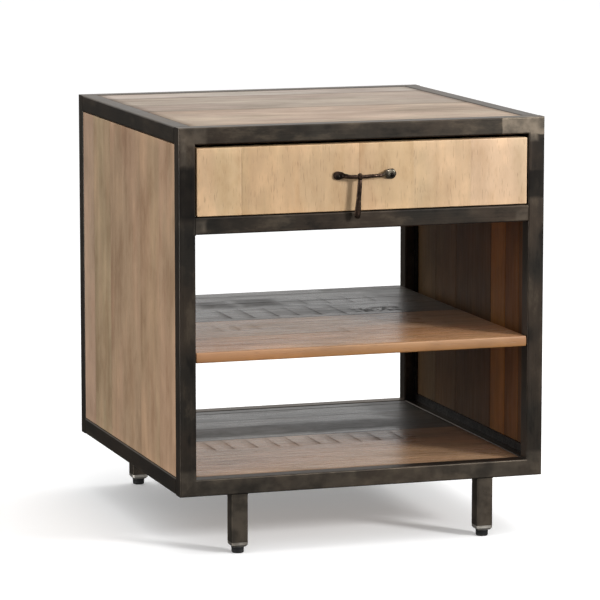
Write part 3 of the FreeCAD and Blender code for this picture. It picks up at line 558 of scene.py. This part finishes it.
def boarded(name, node, along, across, widths, tints, material, body="table",
            edge=0.9 * MM, edge_stain_and_highlight=0.35, seams=(1.0,), kerfs=(), seed=1, low_tints=None):
    """A panel of boards laid side by side, in place of a CAD board.

    Seams gives how strongly each one shows. An edge stain below zero lightens the panel's edge as a painted
    highlight. The face at its lower X, Y or Z takes the low tints where they are given.
    """
    rng = random.Random(seed)
    low, high = corners(node)
    face = 3 - along - across
    ends = low[across] + np.cumsum(widths) / sum(widths) * (high[across] - low[across])
    joints = ends[:-1]
    marks = kerf_lines(kerfs, low, along, across, rng)
    lines = [None] * 3
    lines[along] = ruled(low[along], high[along], edge, 13 * MM, [m[0] for m in marks],
                         (KERF_HALF / 2, KERF_HALF, KERF_TAIL))
    lines[across] = ruled(low[across], high[across], edge, 9 * MM, joints,
                          (0.3 * SEAM_HALF, SEAM_HALF, 2.4 * MM, 5 * MM))
    lines[face] = ruled(low[face], high[face], edge, high[face] - low[face])
    flat, quads = box_surface(lines)
    board = np.searchsorted(joints, flat[:, across])
    to_joints = np.abs(flat[:, across][:, None] - joints[None, :])
    to_seam, seam = to_joints.min(axis=1), np.resize(seams, len(joints))[to_joints.argmin(axis=1)]
    mark = kerf_cover(marks, flat[:, along], flat[:, across])

    groove = np.clip(1 - to_seam / SEAM_HALF, 0, 1) * seam
    level = np.array([rng.uniform(0, 0.25) * MM for _ in widths])
    wave = np.array([noise.noise(Vector(point) * 22 + Vector((seed, 0, 0))) for point in flat])
    sink = level[board] + 0.12 * MM * (wave + 1) + SEAM_DEPTH * groove + KERF_DEPTH * mark
    outward = np.where(flat[:, face] > (low[face] + high[face]) / 2, 1.0, -1.0)
    points = eased(flat, low, high, edge)
    points[:, face] -= outward * np.minimum(sink, (high[face] - low[face]) / 4)
    panel = piece(name, points, quads, material, body, [node])
    # Its broad faces stay flat beside their rounded edges.
    panel.modifiers.new("flat_faces", "WEIGHTED_NORMAL").keep_sharp = True

    middles = (np.array([low[across], *joints]) + ends) / 2
    starts, hearts, depths = (np.array([rng.uniform(*span) for _ in widths]) for span in LOG_SPANS)
    grain = np.stack([flat[:, along] + starts[board], flat[:, across] - middles[board] + hearts[board],
                      flat[:, face] - low[face] + depths[board]], axis=1)
    to_edge = np.min([np.minimum(flat[:, axis] - low[axis], high[axis] - flat[:, axis])
                      for axis in (along, across)], axis=0)
    # The wide darkening beside each seam is partly a stain and partly painted shade of the step between
    # boards.
    rim = np.maximum(np.exp(-to_seam / SEAM_STAIN), 0.45 * np.exp(-to_seam / WIDE_STAIN_AND_SHADE)) * seam
    # An edge stain below zero makes the rim negative there, which paints a highlight on the eased edge.
    rim = rim + edge_stain_and_highlight * np.exp(-to_edge / EDGE_TONE_REACH)
    tint_pair = np.array([[shade(*tint) for tint in row] for row in (low_tints or tints, tints)])
    paint(panel, "grain", "FLOAT_VECTOR", grain)
    paint(panel, "tint", "FLOAT_COLOR", tint_pair[(outward > 0).astype(int), board])
    paint(panel, "rim", "FLOAT", np.clip(rim, -1, 1))
    paint(panel, "mark", "FLOAT", mark)


def make_boards():
    """Every visible board, each panel of planks of its own."""
    top_wood = wood("top_wood", TOP_TIMBER)
    side_wood = wood("side_wood", SIDE_TIMBER)
    shelf_wood = wood("shelf_wood", SHELF_TIMBER, stain_and_shade_patches=shelf_stains_and_shade(), specks=shelf_specks())
    front_wood = wood("front_wood", FRONT_TIMBER)
    boarded("top_planks", "top_board", X, Y, (234, 206, 78),
            [(161, 144, 128), (155, 142, 130), (164, 154, 145)],
            top_wood, edge_stain_and_highlight=1.0, seed=3)
    # The left panel's inner face takes the darker tints, which are painted shade of the table's inside; its
    # outer face takes the low tints.
    boarded("left_side_planks", "left_side_panel", Z, Y, (84, 104, 170, 97, 63),
            [(112, 76, 42), (140, 94, 50), (106, 76, 46), (112, 82, 54), (122, 92, 62)],
            side_wood, edge_stain_and_highlight=-0.6, seams=(0.1, 0.1, 0.35, 0.45), seed=5,
            low_tints=[(177, 147, 119), (174, 145, 116), (172, 143, 116), (168, 144, 115), (180, 152, 128)])
    # The right panel's inner face takes the darker low tints, which are painted shade of the table's inside.
    boarded("right_side_planks", "right_side_panel", Z, Y, (59, 57, 61, 154, 93, 94),
            [(176, 146, 118), (170, 140, 110), (174, 146, 116),
             (170, 141, 112), (177, 149, 120), (172, 145, 118)],
            side_wood, seams=(0.4,), seed=6,
            low_tints=[(104, 68, 34), (128, 84, 40), (178, 120, 56),
                       (112, 80, 46), (122, 90, 54), (130, 102, 70)])
    boarded("back_planks", "back_panel", X, Z, (52, 53), [(176, 146, 112), (186, 156, 122)],
            side_wood, seed=7)
    boarded("shelf_planks", "shelf", X, Y, (130, 154, 165, 75, 42),
            [(200, 152, 110), (198, 161, 127), (118, 110, 102), (108, 103, 97), (98, 94, 89)],
            shelf_wood, edge=2 * MM, seams=(0.15, 0.25, 0.4, 0.7), seed=8,
            low_tints=[(176, 124, 72), (184, 142, 104), (118, 110, 102), (108, 103, 97), (98, 94, 89)],
            kerfs=[Kerfs(0.150, 6, 0.037, 0.298, 0.400, 1.0), Kerfs(0.185, 7, 0.040, 0.405, 0.480, 0.6),
                   Kerfs(0.096, 3, 0.031, 0.185, 0.255, 0.5), Kerfs(0.282, 1, 0.031, 0.120, 0.190, 0.45)])
    boarded("base_planks", "base_board", X, Y, (272, 157, 65, 24),
            [(196, 158, 124), (116, 108, 99), (108, 103, 97), (98, 94, 89)],
            shelf_wood, edge_stain_and_highlight=1.0, seams=(0.3, 0.4, 0.8), seed=9,
            kerfs=[Kerfs(0.095, 10, 0.0338, 0.190, 0.274, 0.9)])
    boarded("front_staves", "drawer_front", Z, X, (68, 89, 92, 86, 90, 90),
            [(200, 170, 133), (195, 164, 126), (194, 162, 126),
             (196, 165, 128), (199, 170, 134), (204, 175, 142)],
            front_wood, body="drawer", edge=1.6 * MM, edge_stain_and_highlight=-1.0,
            seams=(0.3, 0.05, 0.12, 0.05, 0.12), seed=10)


def shelf_stains_and_shade():
    """Dark blotches on the shelf and the base board, mostly at the back and at the right. The two broad ones
    at the right end are painted shade, where the right post and panel shade the boards.
    """
    # Painted shade at the right end of the shelf and of the base.
    return [board_patch(520, 340, SHELF_TOP, 45, 200, 0.45, 45),
            board_patch(520, 340, BASE_TOP, 45, 200, 0.6, 45),
            board_patch(188, 449, SHELF_TOP, 20, 26, 0.8, 22),
            board_patch(262, 449, SHELF_TOP, 25, 28, 0.9, 22),
            board_patch(318, 340, SHELF_TOP, 60, 18, 0.4, 20),
            board_patch(470, 548, SHELF_TOP, 70, 14, 0.6, 16),
            board_patch(285, 360, BASE_TOP, 260, 32, 0.85, 28),
            board_patch(150, 350, BASE_TOP, 90, 16, 0.9, 18)]


def shelf_specks():
    """Two clusters of black specks at the right of the shelf."""
    return [board_patch(396, 326, SHELF_TOP, 18, 18, 1.0, 7),
            board_patch(438, 330, SHELF_TOP, 18, 20, 1.0, 8)]


# ---- frame, fittings and drawer box

def dress(material, *nodes):
    """Give CAD nodes a material."""
    for node in nodes:
        thing = frame["nodes"][node]
        if not thing.material_slots:
            thing.data.materials.append(material)
        for slot in thing.material_slots:
            slot.material = material


def bare_and_lit_patches():
    """Places on the steel that are paler: most are ground paler and on the front. The legs, paler all over,
    the bottom rail's front and the top rail's right half are painted light.
    """
    return [
        front_patch(HALF_WIDTH - 34 * MM, TOP_RAIL_MIDDLE, 35, 14, 0.72, 1.2),
        front_patch(HALF_WIDTH - 18 * MM, FRAME_TOP - 28 * MM, 6, 7, 0.6, 4),
        front_patch(-HALF_WIDTH + 20 * MM, TOP_RAIL_MIDDLE, 20, 14, 0.3, 5),
        front_patch(-HALF_WIDTH + 8 * MM, FRAME_TOP - 34 * MM, 4, 20, 0.45, 4),
        front_patch(-BAY_HALF + 8 * MM, MID_RAIL_BASE + 12 * MM, 8, 9, 0.45, 4),
        front_patch(BAY_HALF - 10 * MM, MID_RAIL_BASE + 10 * MM, 8, 8, 0.2, 4),
        front_patch(HALF_WIDTH - 92 * MM, FRAME_BASE - 8 * MM, 9, 14, 0.4, 6),
        front_patch(HALF_WIDTH - 14 * MM, FRAME_BASE + 14 * MM, 10, 8, 0.3, 6),
        # Painted light: the bottom rail's front, the top rail's right half and the legs are made paler.
        front_patch(0, FRAME_BASE + TUBE / 2, HALF_WIDTH / MM, TUBE / MM, 0.28, 5),
        front_patch(90 * MM, TOP_RAIL_MIDDLE, 170, TUBE / 2 / MM, 0.1, 12),
        Patch((0, 0, LEG_BASE), (HALF_WIDTH, HALF_WIDTH, FRAME_BASE - LEG_BASE), 0.33, 5 * MM),
    ]


def dark_patches():
    """Places on the frame's front where the blacking is thickest."""
    return [
        front_patch(-HALF_WIDTH + 13 * MM, FRAME_TOP - 96 * MM, 14, 38, 1.0, 8, depth=4),
        front_patch(HALF_WIDTH - 44 * MM, FRAME_BASE + 15 * MM, 12, 9, 0.5, 5),
        front_patch(HALF_WIDTH - 10 * MM, FRAME_TOP - 58 * MM, 11, 26, 0.5, 4, depth=4),
        front_patch(HALF_WIDTH - 13 * MM, FRAME_TOP - 101 * MM, 14, 21, 0.85, 4, depth=4),
    ]


def dress_tubes():
    """Posts, rails and legs, each with its marks along its own length."""
    runs = {X: [], Y: [], Z: []}
    for node in frame["nodes"]:
        if node.endswith("rail"):
            runs[X if node.startswith(("front", "back")) else Y].append(node)
        elif node.startswith("post_") or (node.startswith("leg_") and "plates" not in node):
            runs[Z].append(node)
    for axis, nodes in runs.items():
        dress(steel(f"frame_steel_{'xyz'[axis]}", axis, bare_and_lit_patches(), dark_patches()), *nodes)


def dress_fittings():
    """Stops, cleats and runner bars, the legs' ground end plates, and the drawer slides."""
    stops = [node for node in frame["nodes"] if node.endswith(("stops", "cleat", "runner_bar"))]
    dress(plain_metal("stop_steel", shade(56, 52, 48), shade(26, 25, 24), 0.45), *stops)
    dress(plain_metal("ground_steel", shade(204, 198, 188), shade(138, 130, 120), 0.4), "leg_end_plates")
    slides = [node for node in frame["nodes"] if node.endswith("_member")]
    slide_zinc = plain_metal("slide_steel", shade(214, 214, 210), shade(192, 193, 192), 0.42, metallic=0.65,
                             dent=0.01 * MM)
    dress(slide_zinc, *slides)


def dress_drawer_box():
    """The drawer's box, whose grain runs along each board."""
    tint, bottom_tint = shade(206, 176, 138), shade(196, 170, 136)
    dress(wood("drawer_side_wood", BOX_TIMBER, (Y, Z, X), tint), "drawer_left_side", "drawer_right_side")
    dress(wood("drawer_end_wood", BOX_TIMBER, (X, Z, Y), tint), "drawer_box_front", "drawer_box_back")
    dress(wood("drawer_bottom_wood", BOX_TIMBER, (X, Y, Z), bottom_tint), "drawer_bottom")


# ---- the pull

def forged_iron():
    """Dark brown iron, rubbed grey on its right flattened end."""
    low, high = corners("pull_bar")
    paddle = (high[X] - 13 * MM, low[Y], (low[Z] + high[Z]) / 2)
    rubbed = Patch(paddle, (11 * MM, 20 * MM, 8 * MM), 0.55, 4 * MM)
    return plain_metal("forged_iron", shade(64, 49, 40), shade(18, 14, 12), 0.32, 500.0, rubbed=[rubbed])


def swing_axis():
    """A point on the axis that the drop swings about."""
    return next(joint for joint in frame["joints"] if joint["name"] == "drop_swing")["pos_m"]


def make_bar(iron):
    """The forged bar: flattened ends nailed to the drawer front, and a round middle that stands off it."""
    low, high = corners("pull_bar")
    hinge = swing_axis()
    end, face, middle = high[X] / MM, high[Y] / MM, hinge[Y] / MM
    # X, Y, height above the drop's axis, half thickness and half height, in mm.
    stations = [(-end, face - 1.5, 1.6, 0.5, 1.2), (-end + 1.2, face - 1.5, 1.6, 1.2, 4.0),
                (-end + 4, face - 1.7, 1.6, 1.4, 5.9), (-end + 8, face - 1.9, 1.6, 1.5, 6.2),
                (-end + 12, face - 2.4, 1.6, 1.8, 5.2), (-end + 16, face - 5, 1.2, 2.6, 3.9),
                (-end + 20, middle + 1.6, 0.6, 3.0, 3.4), (-22, middle, 0.1, 3.0, 3.2),
                (hinge[X] / MM, middle, 0, 2.85, 2.85), (0, middle, 0.1, 2.8, 2.9),
                (14, middle, 0.7, 2.5, 2.6), (end - 24, middle + 2, 1.2, 2.3, 2.9),
                (end - 19, face - 5, 1.6, 2.2, 4.6), (end - 14, face - 2.4, 1.6, 1.8, 6.6),
                (end - 9, face - 1.9, 1.6, 1.6, 7.5), (end - 4.5, face - 1.7, 1.6, 1.4, 7.2),
                (end - 1.4, face - 1.5, 1.6, 1.2, 4.6), (end, face - 1.5, 1.6, 0.5, 1.4)]
    run = smooth_run(stations, 140) * MM
    run[:, Z] += hinge[Z]
    points, faces = swept(run[:, :3], np.maximum(run[:, 3:], 0.15 * MM), 20, (0, 0, 1))
    points = roughened(roughened(points, 0.35 * MM, 160), 0.12 * MM, 420)
    points[:, X] = np.clip(points[:, X], low[X], high[X])
    points[:, Y] = np.clip(points[:, Y], low[Y], high[Y])
    piece("forged_pull", points, faces, iron, "drawer", ["pull_bar"])


def make_drop(iron):
    """The drop: an eye curled round the bar, a blade below it that leans left, and a rivet on the eye."""
    low, high = corners("drop_pull")
    x, y, z = swing_axis()
    eye_radius = high[Z] - z - 1.2 * MM
    curl_radius, half_thick, half_wide = eye_radius - 0.1 * MM, 1.35 * MM, 2.5 * MM
    circle = [(x, y + curl_radius * math.sin(a), z + curl_radius * math.cos(a))
              for a in np.linspace(0, 2 * math.pi, 37)]
    curl = swept(circle, [(half_thick, half_wide)] * len(circle), 14, (1, 0, 0))

    # Share of the way down the blade, half thickness and half width in mm.
    stations = [(0.0, 1.6, 3.0), (0.1, 2.2, 3.5), (0.3, 2.5, 3.6), (0.55, 2.6, 3.9),
                (0.8, 2.4, 4.8), (0.93, 2.1, 4.6), (0.985, 1.6, 3.0), (1.0, 0.5, 0.6)]
    run = smooth_run(stations, 70)
    lean, span = 4.5 * MM, z - eye_radius - low[Z]
    route = [(x - lean * share, y, low[Z] + span * (1 - share)) for share in run[:, 0]]
    blade = swept(route, np.maximum(run[:, 1:] * MM, 0.2 * MM), 18, (1, 0, 0))

    rivet = knob((x + 0.2 * MM, y - eye_radius - 0.4 * MM, z + 0.3 * MM), 3.3 * MM, 1.9 * MM)
    points, faces = gathered([curl, blade, rivet])
    points = roughened(points, 0.28 * MM, 170)
    points[:, Z] = np.clip(points[:, Z], low[Z], None)
    points[:, Y] = np.clip(points[:, Y], low[Y], None)
    piece("forged_drop", points, faces, iron, "drop", ["drop_pull"])


def make_nails():
    """The nails through the bar's ends."""
    points, faces = gathered([nail(head) for head in fasteners_of("pull_nails")])
    nail_iron = plain_metal("nail_iron", shade(44, 37, 32), shade(17, 14, 13), 0.34)
    piece("nail_heads", points, faces, nail_iron, "drawer", ["pull_nails"])


def knob(centre, radius, height):
    """A flattened round boss that faces the front."""
    profile = [(radius * math.sin(a), height * math.cos(a)) for a in np.linspace(0.12, math.pi - 0.12, 12)]
    points, faces = turned(profile, 20)
    return np.stack([points[:, X], -points[:, Z], points[:, Y]], axis=1) + centre, faces


# ---- fasteners

Fastener = namedtuple("Fastener", "seat out head_radius head_height shank_radius shank_length")


def solids_of(node):
    """The points of each separate solid in a CAD node."""
    mesh = frame["nodes"][node].data
    keys = [tuple(round(c, 6) for c in vertex.co) for vertex in mesh.vertices]
    parent = {key: key for key in keys}

    def root(key):
        while parent[key] != key:
            parent[key] = parent[parent[key]]
            key = parent[key]
        return key

    for edge in mesh.edges:
        first, second = (root(keys[index]) for index in edge.vertices)
        parent[first] = second
    groups = {}
    for key in parent:
        groups.setdefault(root(key), []).append(key)
    return [np.array(points) for _, points in sorted(groups.items())]


def fasteners_of(node):
    """Where each screw or nail of a CAD node sits, and its sizes."""
    found = []
    for points in solids_of(node):
        low, high = points.min(axis=0), points.max(axis=0)
        axis = int(np.argmax(high - low))
        centre = (low + high) / 2
        away = points - centre
        away[:, axis] = 0
        radii = np.linalg.norm(away, axis=1)
        is_head = radii > 0.8 * radii.max()
        head = points[is_head][:, axis]
        side = 1 if head.mean() > centre[axis] else -1
        seat = centre.copy()
        seat[axis] = head.min() if side > 0 else head.max()
        out = np.zeros(3)
        out[axis] = side
        found.append(Fastener(seat, out, radii.max(), np.ptp(head), radii[~is_head].max(),
                              np.ptp(points[:, axis]) - np.ptp(head)))
    return found


def set_at(points, fastener):
    """Turn points from +Z to a fastener's direction, and put them on its seat."""
    turn = Vector((0, 0, 1)).rotation_difference(Vector(fastener.out)).to_matrix()
    return points @ np.array(turn).T + fastener.seat


def pan_head_screw(fastener):
    """A pan-head screw with a cross recess."""
    r, h = fastener.head_radius, fastener.head_height
    shank, length = fastener.shank_radius, fastener.shank_length
    rings = [0.04, 0.12, 0.2, 0.28, 0.36, 0.44, 0.52, 0.6, 0.7, 0.8]
    profile = [(r * share, h * (1 - 0.18 * share ** 2)) for share in rings]
    profile += [(r * 0.92, h * 0.72), (r, h * 0.4), (r, h * 0.08), (r * 0.97, 0), (shank, 0)]
    profile += [(shank, -length * 0.8), (shank * 0.2, -length)]
    points, faces = turned(profile, 32)
    slot_half, slot_reach, soft = 0.13 * r, 0.56 * r, 0.1 * r
    x, y = np.abs(points[:, X]), np.abs(points[:, Y])
    bars = [np.clip((slot_half + soft - a) / soft, 0, 1) * np.clip((slot_reach + soft - b) / soft, 0, 1)
            for a, b in ((x, y), (y, x))]
    on_top = points[:, Z] > 0.7 * h
    points[:, Z] -= np.where(on_top, np.maximum(*bars) * 0.6 * h, 0)
    return set_at(points, fastener), faces


def nail(fastener):
    """A hand-made nail: a low dome with hammer facets."""
    r, h = fastener.head_radius, fastener.head_height
    profile = [(r * math.sin(a), h * math.cos(a)) for a in np.linspace(0.1, math.pi / 2, 8)]
    profile += [(fastener.shank_radius, 0), (fastener.shank_radius * 0.2, -fastener.shank_length)]
    points, faces = turned(profile, 18)
    return roughened(set_at(points, fastener), 0.25 * MM, 330), faces


def make_screws():
    """Detailed screws in place of the plain ones, one piece for each CAD group."""
    zinc = plain_metal("screw_zinc", shade(178, 176, 168), shade(126, 124, 118), 0.3)
    black = plain_metal("screw_black", shade(52, 49, 46), shade(26, 25, 24), 0.4)
    groups = {"board_screws": ("table", black), "panel_screws": ("table", black),
              "slide_cabinet_screws": ("table", zinc), "slide_drawer_screws": ("drawer", zinc),
              "drawer_screws": ("drawer", black)}
    for node, (body, metal) in groups.items():
        points, faces = gathered([pan_head_screw(fastener) for fastener in fasteners_of(node)])
        piece(f"{node}_detailed", points, faces, metal, body, [node])


# ---- the feet

def make_feet():
    """Levelling feet: a moulded pad with a rim, on a threaded stud."""
    plastic = moulded_plastic()
    for end in ENDS:
        for side in SIDES:
            node = f"levelling_foot_{end}_{side}"
            low, high = corners(node)
            points, faces = gathered([foot_pad(low, high), foot_stud(low, high)])
            centre = (low + high) / 2
            centre[Z] = 0
            piece(f"foot_{end}_{side}_moulded", points + centre, faces, plastic, f"foot_{end}_{side}",
                  [node])


def foot_pad(low, high):
    """The pad, wider at its top and rounded at both rims."""
    radius, height = (high[X] - low[X]) / 2, LEG_BASE - low[Z]
    shares = [(0.3, 1.0), (0.9, 1.0), (0.97, 0.975), (1.0, 0.92), (0.995, 0.85), (0.955, 0.8), (0.95, 0.35),
              (0.935, 0.2), (0.9, 0.09), (0.84, 0.02), (0.78, 0.0), (0.72, 0.0), (0.7, 0.04), (0.1, 0.05)]
    return turned([(radius * r, height * z) for r, z in shares], 40)


def foot_stud(low, high):
    """The stud, with a real thread."""
    major, minor, pitch = 3.9 * MM, 3.3 * MM, 1.25 * MM
    segments, steps_per_turn = 28, 6
    base, top = LEG_BASE - low[Z] - 0.2 * MM, high[Z] - low[Z]
    heights = np.arange(top, base, -pitch / steps_per_turn)
    points = []
    for z in heights:
        for i in range(segments):
            share = (z / pitch + i / segments) % 1
            ridge = 1 - abs(2 * share - 1)
            radius = minor + (major - minor) * min(1, 1.5 * ridge) * min(1, (top - z) / (2 * MM) + 0.1)
            angle = 2 * math.pi * i / segments
            points.append((radius * math.cos(angle), radius * math.sin(angle), z))
    return np.array(points), ring_quads(len(heights), segments)


# ---- welds

BEAD_RADIUS, BEAD_RIPPLE, BEAD_STEP = 1.9 * MM, 1.7 * MM, 0.35 * MM


def weld(start, end, seed):
    """A rippled bead along an inner corner."""
    start, end = np.array(start, float), np.array(end, float)
    length = np.linalg.norm(end - start)
    direction = (end - start) / length
    across = (0, 0, 1) if abs(direction[Z]) < 0.9 else (1, 0, 0)
    phase = random.Random(seed).uniform(0, 6)
    count = max(8, int(length / BEAD_STEP))
    path, sizes = [], []
    for share in np.linspace(0, 1, count):
        ripple = 0.5 + 0.5 * math.sin(share * length / BEAD_RIPPLE * 2 * math.pi + phase)
        end_fade = min(1, 12 * share + 0.25, 12 * (1 - share) + 0.25)
        size = BEAD_RADIUS * (0.82 + 0.18 * ripple) * end_fade
        path.append(start + (end - start) * share)
        sizes.append((size, size))
    return swept(path, sizes, 10, across)


def weld_lines():
    """Corner lines where the frame is welded and the beads are left as they are."""
    lines = []
    inset = 2 * MM
    for end in ENDS:
        for side in SIDES:
            low, high = corners(f"leg_{end}_{side}")
            for x in (low[X], high[X]):
                lines.append(((x, low[Y] + inset, FRAME_BASE), (x, high[Y] - inset, FRAME_BASE)))
            inner = high[Y] if end == "front" else low[Y]
            lines.append(((low[X] + inset, inner, FRAME_BASE), (high[X] - inset, inner, FRAME_BASE)))
    for end in ENDS:
        low, high = corners(f"{end}_middle_rail")
        inner = high[Y] if end == "front" else low[Y]
        for x in (low[X], high[X]):
            lines.append(((x, low[Y] + 2.5 * MM, low[Z]), (x, high[Y] - 2.5 * MM, low[Z])))
            lines.append(((x, inner, low[Z] + 3 * MM), (x, inner, high[Z] - 3 * MM)))
    for side, sign in SIDES.items():
        for node in (f"{side}_runner_bar", f"{side}_shelf_cleat"):
            low, high = corners(node)
            inner = low[X] if sign > 0 else high[X]
            for y in (low[Y], high[Y]):
                lines.append(((inner, y, low[Z] + inset), (inner, y, high[Z] - inset)))
    return lines + stop_tacks()


def stop_tacks():
    """Short beads that hold the flat bars under the top and the base."""
    half = 7 * MM
    lines = []
    for node in ("top_board_stops", "base_board_stops"):
        low, high = corners(node)
        z = low[Z]
        for share in (0.12, 0.37, 0.63, 0.88):
            x = low[X] + share * (high[X] - low[X])
            y = low[Y] + share * (high[Y] - low[Y])
            lines += [((x - half, edge, z), (x + half, edge, z)) for edge in (low[Y], high[Y])]
            lines += [((edge, y - half, z), (edge, y + half, z)) for edge in (low[X], high[X])]
    return lines


def make_welds():
    """All beads as one piece."""
    beads = [weld(start, end, seed) for seed, (start, end) in enumerate(weld_lines())]
    points, faces = gathered(beads)
    metal = plain_metal("weld_steel", shade(84, 77, 70), shade(36, 34, 32), 0.42)
    piece("weld_beads", points, faces, metal, "table")


# ---- stage and light

def staged(name, points, faces, glow):
    """A pale sheet of the studio, which only the camera sees."""
    g = Surface(f"{name}_paper")
    cloud = g.noise(g.place(), 0.6, detail=3)
    colour = g.mix(cloud, (0.93, 0.93, 0.93, 1), (0.95, 0.95, 0.95, 1))
    g.surface(Base_Color=colour, Roughness=0.9, Specular_IOR_Level=0.0)
    g.surface(Emission_Color=(1, 1, 1, 1), Emission_Strength=glow)
    mesh = bpy.data.meshes.new(name)
    mesh.from_pydata(points, [], faces)
    mesh.materials.append(g.material)
    sheet = in_scene(name, mesh)
    sheet.visible_diffuse = False
    sheet.visible_glossy = False
    sheet.visible_shadow = False


def make_studio():
    """A plain pale floor, and a wall round it far behind everything."""
    half, height = 30.0, 15.0
    rim = [(-half, -half), (half, -half), (half, half), (-half, half)]
    staged("floor", [(x, y, 0) for x, y in rim], [range(4)], glow=0.2)
    wall = [(x, y, z) for z in (0, height) for x, y in rim]
    staged("wall", wall, [(i, (i + 1) % 4, (i + 1) % 4 + 4, i + 4) for i in range(4)], glow=1.0)


def make_world():
    """White light from all round: strongest overhead, and weak from the floor, most of it in front."""
    world = bpy.data.worlds.new("studio")
    bpy.context.scene.world = world
    world.use_nodes = True
    g = Graph(world.node_tree)
    x, y, z = g.parts(g.add("ShaderNodeTexCoord").outputs["Generated"])
    walls = g.math("MULTIPLY", g.spread(x, -1.0, 0.7, 0.85, 1.0), g.spread(y, -0.6, 0.8, 0.68, 0.74))
    above = g.math("MULTIPLY", g.spread(z, -0.08, 0.06), g.spread(z, 0.2, 1.0, 1.0, 1.5))
    below = g.math("MULTIPLY", g.spread(z, 0.06, -0.08), g.spread(y, -0.7, 0.5, 0.26, 0.05))
    background = world.node_tree.nodes["Background"].inputs
    g.feed(background["Strength"], g.math("MULTIPLY_ADD", walls, above, below))
    g.feed(background["Color"], (1, 1, 1, 1))


def make_light(name, place, target, size, power):
    """A square softbox that looks at a target."""
    lamp = bpy.data.lights.new(name, "AREA")
    lamp.shape = "SQUARE"
    lamp.size = size
    lamp.energy = power
    thing = in_scene(name, lamp)
    thing.location = place
    thing.rotation_euler = (Vector(target) - Vector(place)).to_track_quat("-Z", "Y").to_euler()


def make_lights():
    """A low key from the right front, a broad box overhead, and a soft one at the left."""
    middle = Vector((0, FRAME_FRONT, (FRAME_BASE + FRAME_TOP) / 2))
    key_direction, key_distance = Vector((11.2, -13.0, 5.6)).normalized(), 3.2
    make_light("key_softbox", middle + key_direction * key_distance, middle, size=0.55, power=82)
    make_light("overhead_softbox", (0.4, 0.2, 3.2), (0, 0, FRAME_TOP), size=2.4, power=30)
    make_light("left_softbox", (-3.2, -0.4, 0.3), (-HALF_WIDTH, 0, 0.33), size=1.0, power=36)


def make_camera():
    """A long lens from the left front, which looks slightly down."""
    camera = bpy.data.cameras.new("camera")
    camera.lens = 219.45
    camera.sensor_width = 36
    camera.shift_x = -0.0093
    camera.shift_y = -0.0023
    camera.clip_end = 300
    yaw, pitch = 0.3179, -0.1469
    thing = in_scene("camera", camera)
    thing.location = (-1.7573, -5.3382, 1.1656)
    thing.rotation_euler = (math.pi / 2 + pitch, 0, -yaw)
    bpy.context.scene.camera = thing


def main():
    """Build everything round the frame."""
    make_camera()
    make_boards()
    dress_tubes()
    dress_fittings()
    dress_drawer_box()
    iron = forged_iron()
    make_bar(iron)
    make_drop(iron)
    make_nails()
    make_screws()
    make_feet()
    make_welds()
    make_studio()
    make_world()
    make_lights()
    bpy.context.scene.view_settings.view_transform = "Standard"


main()
